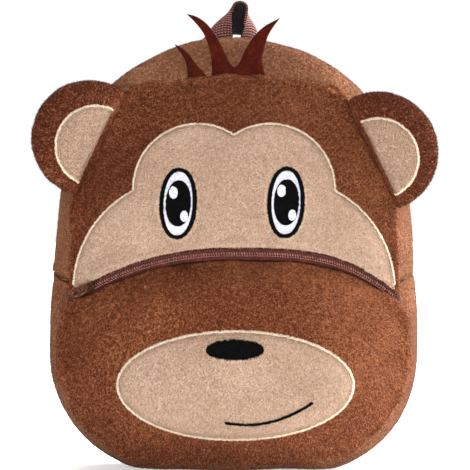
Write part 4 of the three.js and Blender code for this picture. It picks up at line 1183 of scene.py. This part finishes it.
def ribbon(name, place, across, along, size, thickness):
    # a grid moved into place, with a UV map in millimetres
    bm = bmesh.new()
    bmesh.ops.create_grid(bm, x_segments=across, y_segments=along, size=0.5, calc_uvs=True)
    layer = bm.loops.layers.uv.verify()
    for face in bm.faces:
        for loop in face.loops:
            loop[layer].uv = ((loop.vert.co.x + 0.5) * size[0], (loop.vert.co.y + 0.5) * size[1])
    for vert in bm.verts:
        vert.co = place(vert.co.x + 0.5, vert.co.y + 0.5)
    bmesh.ops.recalc_face_normals(bm, faces=bm.faces)
    thickened(bm, thickness)
    bmesh.ops.recalc_face_normals(bm, faces=bm.faces)
    return meshFrom(bm, name)


loopLook = {"y": 30.56, "top": 259.52, "bow": 209.0, "sink": 0.2, "across": 16, "along": 96,
            "size": (25.0, 60.0), "thickness": 1.4 * mm, "bulge": 3.8 * mm, "crown": 0.8 * mm,
            "core": (1.5, 262.0), "dimAbove": 281.0 * mm}
loopFront = [(-0.6, 0, None), (-0.8, -3, 272), (0.2, -5, 283.5), (3.8, -6, 286.2), (7.4, -5, 283.5),
             (5.6, -3, 272), (2.6, 0, None)]
loopBack = [(-23, 1, None), (-20.4, 4, 262), (-14, 9, 265.4), (0, 13, 267.8), (11.4, 9, 265.6),
            (16.2, 4, 262), (18.8, 1, None)]


def makeLoop(look):
    def edge(rows):
        spots = []
        for x, shift, z in rows:
            seat = look["top"] - x * x / look["bow"] - look["sink"]
            spots.append((x, look["y"] + shift, seat if z is None else z))
        return curveThrough(spots, look["along"]) * mm

    front, back = edge(loopFront), edge(loopBack)

    def place(u, v):
        # the legs bulge away from the loop's core, and the bend at the top hardly does
        i = int(round(v * look["along"]))
        flat = front[i] * (1 - u) + back[i] * u
        away = unit(flat * [1, 0, 1] - np.array([look["core"][0], 0, look["core"][1]]) * mm)
        swollen = look["bulge"] * math.sin(2 * math.pi * v) ** 2 + look["crown"] * math.sin(math.pi * v) ** 2
        return flat + away * swollen * 4 * u * (1 - u)  # most at the middle of the webbing

    mesh = ribbon("carry_loop_webbing", place, look["across"], look["along"], look["size"], look["thickness"])
    core = Vector((look["core"][0] * mm, look["y"] * mm, look["core"][1] * mm))
    # painted shade: a near-black copy of the webbing on the inside, and the darker strap webbing painted on
    # the top and on the rear side
    for face in mesh.polygons:
        inner = (face.center - core).dot(face.normal) < 0
        dim = face.normal.y > 0 or face.center.z > look["dimAbove"]
        face.material_index = 1 if inner else 2 * int(dim)
    addPiece("carry_loop_webbing", mesh, [webbing, shadedWebbing, strapWovenAndShade], "webbing", ["carry_loop"])


makeLoop(loopLook)

strapSides = {"left": -1, "right": 1}
strapWebbing = {"across": (0.97, 0.1, 0.2), "along": (0.17, -0.25, -0.95), "levels": 2}


def makeStrapWebbing(side, sign, look):
    node = "strap_webbing_" + side
    mesh = softPanel(node, {**plainCloth, "levels": look["levels"], "crease": 0.9, "seed": 87})
    layer = mesh.uv_layers.new(name="weave")
    places = points(mesh) * [sign, 1, 1] / mm
    uv = np.stack([places @ unit(np.array(look[key])) for key in ("across", "along")], axis=1)
    index = np.empty(len(mesh.loops), np.int32)
    mesh.loops.foreach_get("vertex_index", index)
    layer.data.foreach_set("uv", uv[index].astype(np.float32).ravel())
    addPiece(node + "_woven", mesh, [strapWovenAndShade], "webbing", [node])


for side, sign in strapSides.items():
    makeStrapWebbing(side, sign, strapWebbing)


# Padded straps

padLook = {"voxel": 3.2 * mm, "pressure": 4.0, "stiffness": 12.0, "frames": 20, "cap": 1.6 * mm,
           "shrinkFrom": (106, 122), "shrink": (-1.6, 0.8), "sewn": (0.114, 0.232), "width": 32.0,
           "inset": 4.0, "steps": 60, "thread": 0.7 * mm, "rise": 0.35 * mm,
           "run": {"pitch": 4.2 * mm, "stitch": 3.0 * mm, "lift": 0.25 * mm},
           "line": [(24.6, 236.0), (25.5, 229.0), (32.0, 207.0), (43.0, 168.0), (53.0, 130.0), (60.0, 104.0)]}
padMeshes = {}


def makePad(side, sign, look):
    node = "strap_" + side
    slim = meshFrom(mergedCopy(node), node + "Slim")
    shrink = np.interp(points(slim)[:, 2] / mm, look["shrinkFrom"], look["shrink"]) * mm
    setPoints(slim, points(slim) - normals(slim) * shrink[:, None])
    mesh = stuffed(slim, look, lambda p: (p[:, 2] < look["sewn"][0]) | (p[:, 2] > look["sewn"][1]))
    piece = addPiece(node + "_pad", mesh, [litSideBrown], "plush_brown", [node])
    padMeshes[side] = mesh
    middle = curveThrough(np.array(look["line"]) * [sign, 1], look["steps"]) * mm
    outward = rightOf(aheadOf(middle, False))
    meet = surfaceOf([mesh], 0.2)
    reach = (look["width"] / 2 - look["inset"]) * mm
    rows = []
    for shift in (-reach, reach):
        run = runStitches(middle + outward * shift, meet, look["run"])
        rows.append((stitches("run", run, look["thread"], look["rise"]), 0))
    addPiece(node + "_stitching", joinedMesh("run", rows), [brownThread], "plush_brown")


for side, sign in strapSides.items():
    makePad(side, sign, padLook)
print("straps made")


# Pile over every plush piece, and fuzz on the felt

# the seam values darken fibres beside the seams as painted shade; the last three values make fibres paler as
# painted light where the surface faces the upper right
pileLook = {"length": 1.35 * mm, "lengthSpread": (0.65, 1.2), "width": 0.37 * mm, "widthSpread": (0.7, 1.2),
            "sunk": 0.1 * mm, "lean": 55, "leanSpread": 14, "clump": 0.95 * mm, "tousle": 0.55, "stray": 0.55,
            "nap": (0.15, 0, -1), "clumpTone": 0.6, "strayTone": 0.75, "darkBelow": -0.2, "lightAbove": 0.85,
            "seamReach": 1.7 * mm, "seamLeast": 0.5, "seamShade": 0.4, "paintedLight": 0.0,
            "paintedLightWay": (0.85, 0, 0.5), "paintedLightFrom": 0.1}
facePileLook = {**pileLook, "darkBelow": -0.12, "lightAbove": 1.05, "seamShade": 0.0, "paintedLight": 1.7}
pocketPileLook = {**pileLook, "seamShade": 1.0, "paintedLight": 1.1}
# painted light: more pale fibres than on the front
litSidePileLook = {**pileLook, "length": 1.1 * mm, "lean": 62, "clumpTone": 0.3, "strayTone": 0.5,
                "darkBelow": -0.5, "lightAbove": 0.45, "seamLeast": 0.35, "seamShade": 1.4}
# painted shade: mostly dark fibres on the lower gusset
lowShadedPileLook = {**litSidePileLook, "darkBelow": 0.5, "lightAbove": 1.2}
beigePileLook = {**pileLook, "length": 1.2 * mm, "lean": 56, "clumpTone": 0.45, "strayTone": 0.6,
                 "darkBelow": -0.55, "lightAbove": 0.65, "seamShade": 0.0}
muzzlePileLook = {**beigePileLook, "darkBelow": -0.45, "lightAbove": 0.7}
earPileLook = {**pileLook, "length": 1.6 * mm, "lean": 60, "darkBelow": 0.95, "lightAbove": 1.6,
               "seamReach": 4.0 * mm, "seamShade": 1.5}
earPatchPileLook = {**beigePileLook, "darkBelow": 0.1, "lightAbove": 1.1}
fuzzLook = {**pileLook, "length": 0.6 * mm, "width": 0.25 * mm, "lean": 68, "nap": (0, 0, 1)}
zipBand = {"halfWidth": 98, "steps": 60, "above": 2.5, "below": 9}
keepLook = {"outer": 0.3, "front": -0.2}  # how far a face has to turn outward, or to the front


def zipBandOutline(look):
    x = np.linspace(-look["halfWidth"], look["halfWidth"], look["steps"])
    upper = np.stack([x, zipUpper(x) + look["above"]], axis=1)
    lower = np.stack([x, zipUpper(x) - look["below"]], axis=1)
    return np.concatenate([upper, lower[::-1]]) * mm


def everywhere(middle, facing):
    return np.ones(len(middle), bool)


def outerOnly(middle, facing):
    return (facing * awayFromCore(middle)).sum(1) > keepLook["outer"]


def coveredBy(outlines, middle):
    covered = np.zeros(len(middle), bool)
    for outline in outlines:
        covered |= insideOutline(middle[:, [0, 2]], outline)
    return covered


def bare(*outlines):
    # outward faces that no patch or embroidery covers from the front
    def keep(middle, facing):
        return outerOnly(middle, facing) & ~(coveredBy(outlines, middle) & (facing[:, 1] < 0))

    return keep


def frontOnly(*holes):
    def keep(middle, facing):
        return (facing[:, 1] < keepLook["front"]) & ~coveredBy(holes, middle)

    return keep


def earKeep(ear):
    outline = earPatches[ear["name"]][0]

    def keep(middle, facing):
        covered = coveredBy([outline], middle) & (facing[:, 1] < 0)
        return (earOut(middle, ear["side"]) > earLook["pileFrom"]) & ~covered

    return keep


def earSeam(ear):
    flat = [(seam["start"] + seam["along"] * t) * [ear["side"], 1] for t in seam["run"]]
    return treeOf([(x * mm, y * mm, z * mm) for x, z in flat for y in seam["depths"]])


def fromEarCentre(ear):
    centre = (seam["start"] + seam["along"] * ear["along"]) * [ear["side"], 1] * mm

    def nap(root):
        away = unit(root[:, [0, 2]] - centre)
        return np.column_stack([away[:, 0], np.zeros(len(root)), away[:, 1]])

    return nap


brownFields = [("face_panel", facePileLook, 95000, brownPile, bare(patchOutline, zipBandOutline(zipBand))),
               ("pocket_panel", pocketPileLook, 105000, brownPile, bare(muzzleOutline)),
               ("gusset_upper_front", litSidePileLook, 80000, sidePile, outerOnly),
               ("gusset_lower", lowShadedPileLook, 65000, lowPile, outerOnly),
               ("gusset_upper_back", litSidePileLook, 22000, sidePile, outerOnly),
               ("back_panel", pileLook, 40000, sidePile, outerOnly)]
for seed, (node, look, count, finishes, keep) in enumerate(brownFields, 201):
    addPile(node + "_pile", panels[node], look, count, seed, finishes, "plush_brown", keep, rimTree(node))
for seed, ear in enumerate(ears, 221):
    name = ear["name"]
    look = {**earPileLook, "nap": fromEarCentre(ear)}
    addPile(f"ear_{name}_pile", earMeshes[name], look, 30000, seed, brownPile, "plush_brown", earKeep(ear),
            earSeam(ear))
    addPile(f"ear_patch_{name}_pile", earPatches[name][1], earPatchPileLook, 8000, seed + 10, beigePile,
            "plush_beige", frontOnly())
eyeHoles = [oval(eye, eyeLook["holeGrow"]) for eye in eyes]
noseHole = oval(noseLook, noseLook["holeGrow"])
addPile("face_patch_pile", faceMesh, beigePileLook, 60000, 241, beigePile, "plush_beige",
        frontOnly(*eyeHoles))
addPile("muzzle_patch_pile", muzzleMesh, muzzlePileLook, 45000, 242, beigePile, "plush_beige",
        frontOnly(noseHole))
for seed, (side, mesh) in enumerate(padMeshes.items(), 251):
    addPile(f"strap_{side}_pile", mesh, pileLook, 12000, seed, sidePile, "plush_brown", everywhere)
for seed, (node, mesh) in enumerate(hairMeshes.items(), 261):
    addPile(node + "_fuzz", mesh, fuzzLook, 4000, seed, feltFuzz, "felt", everywhere)
print("pile laid")
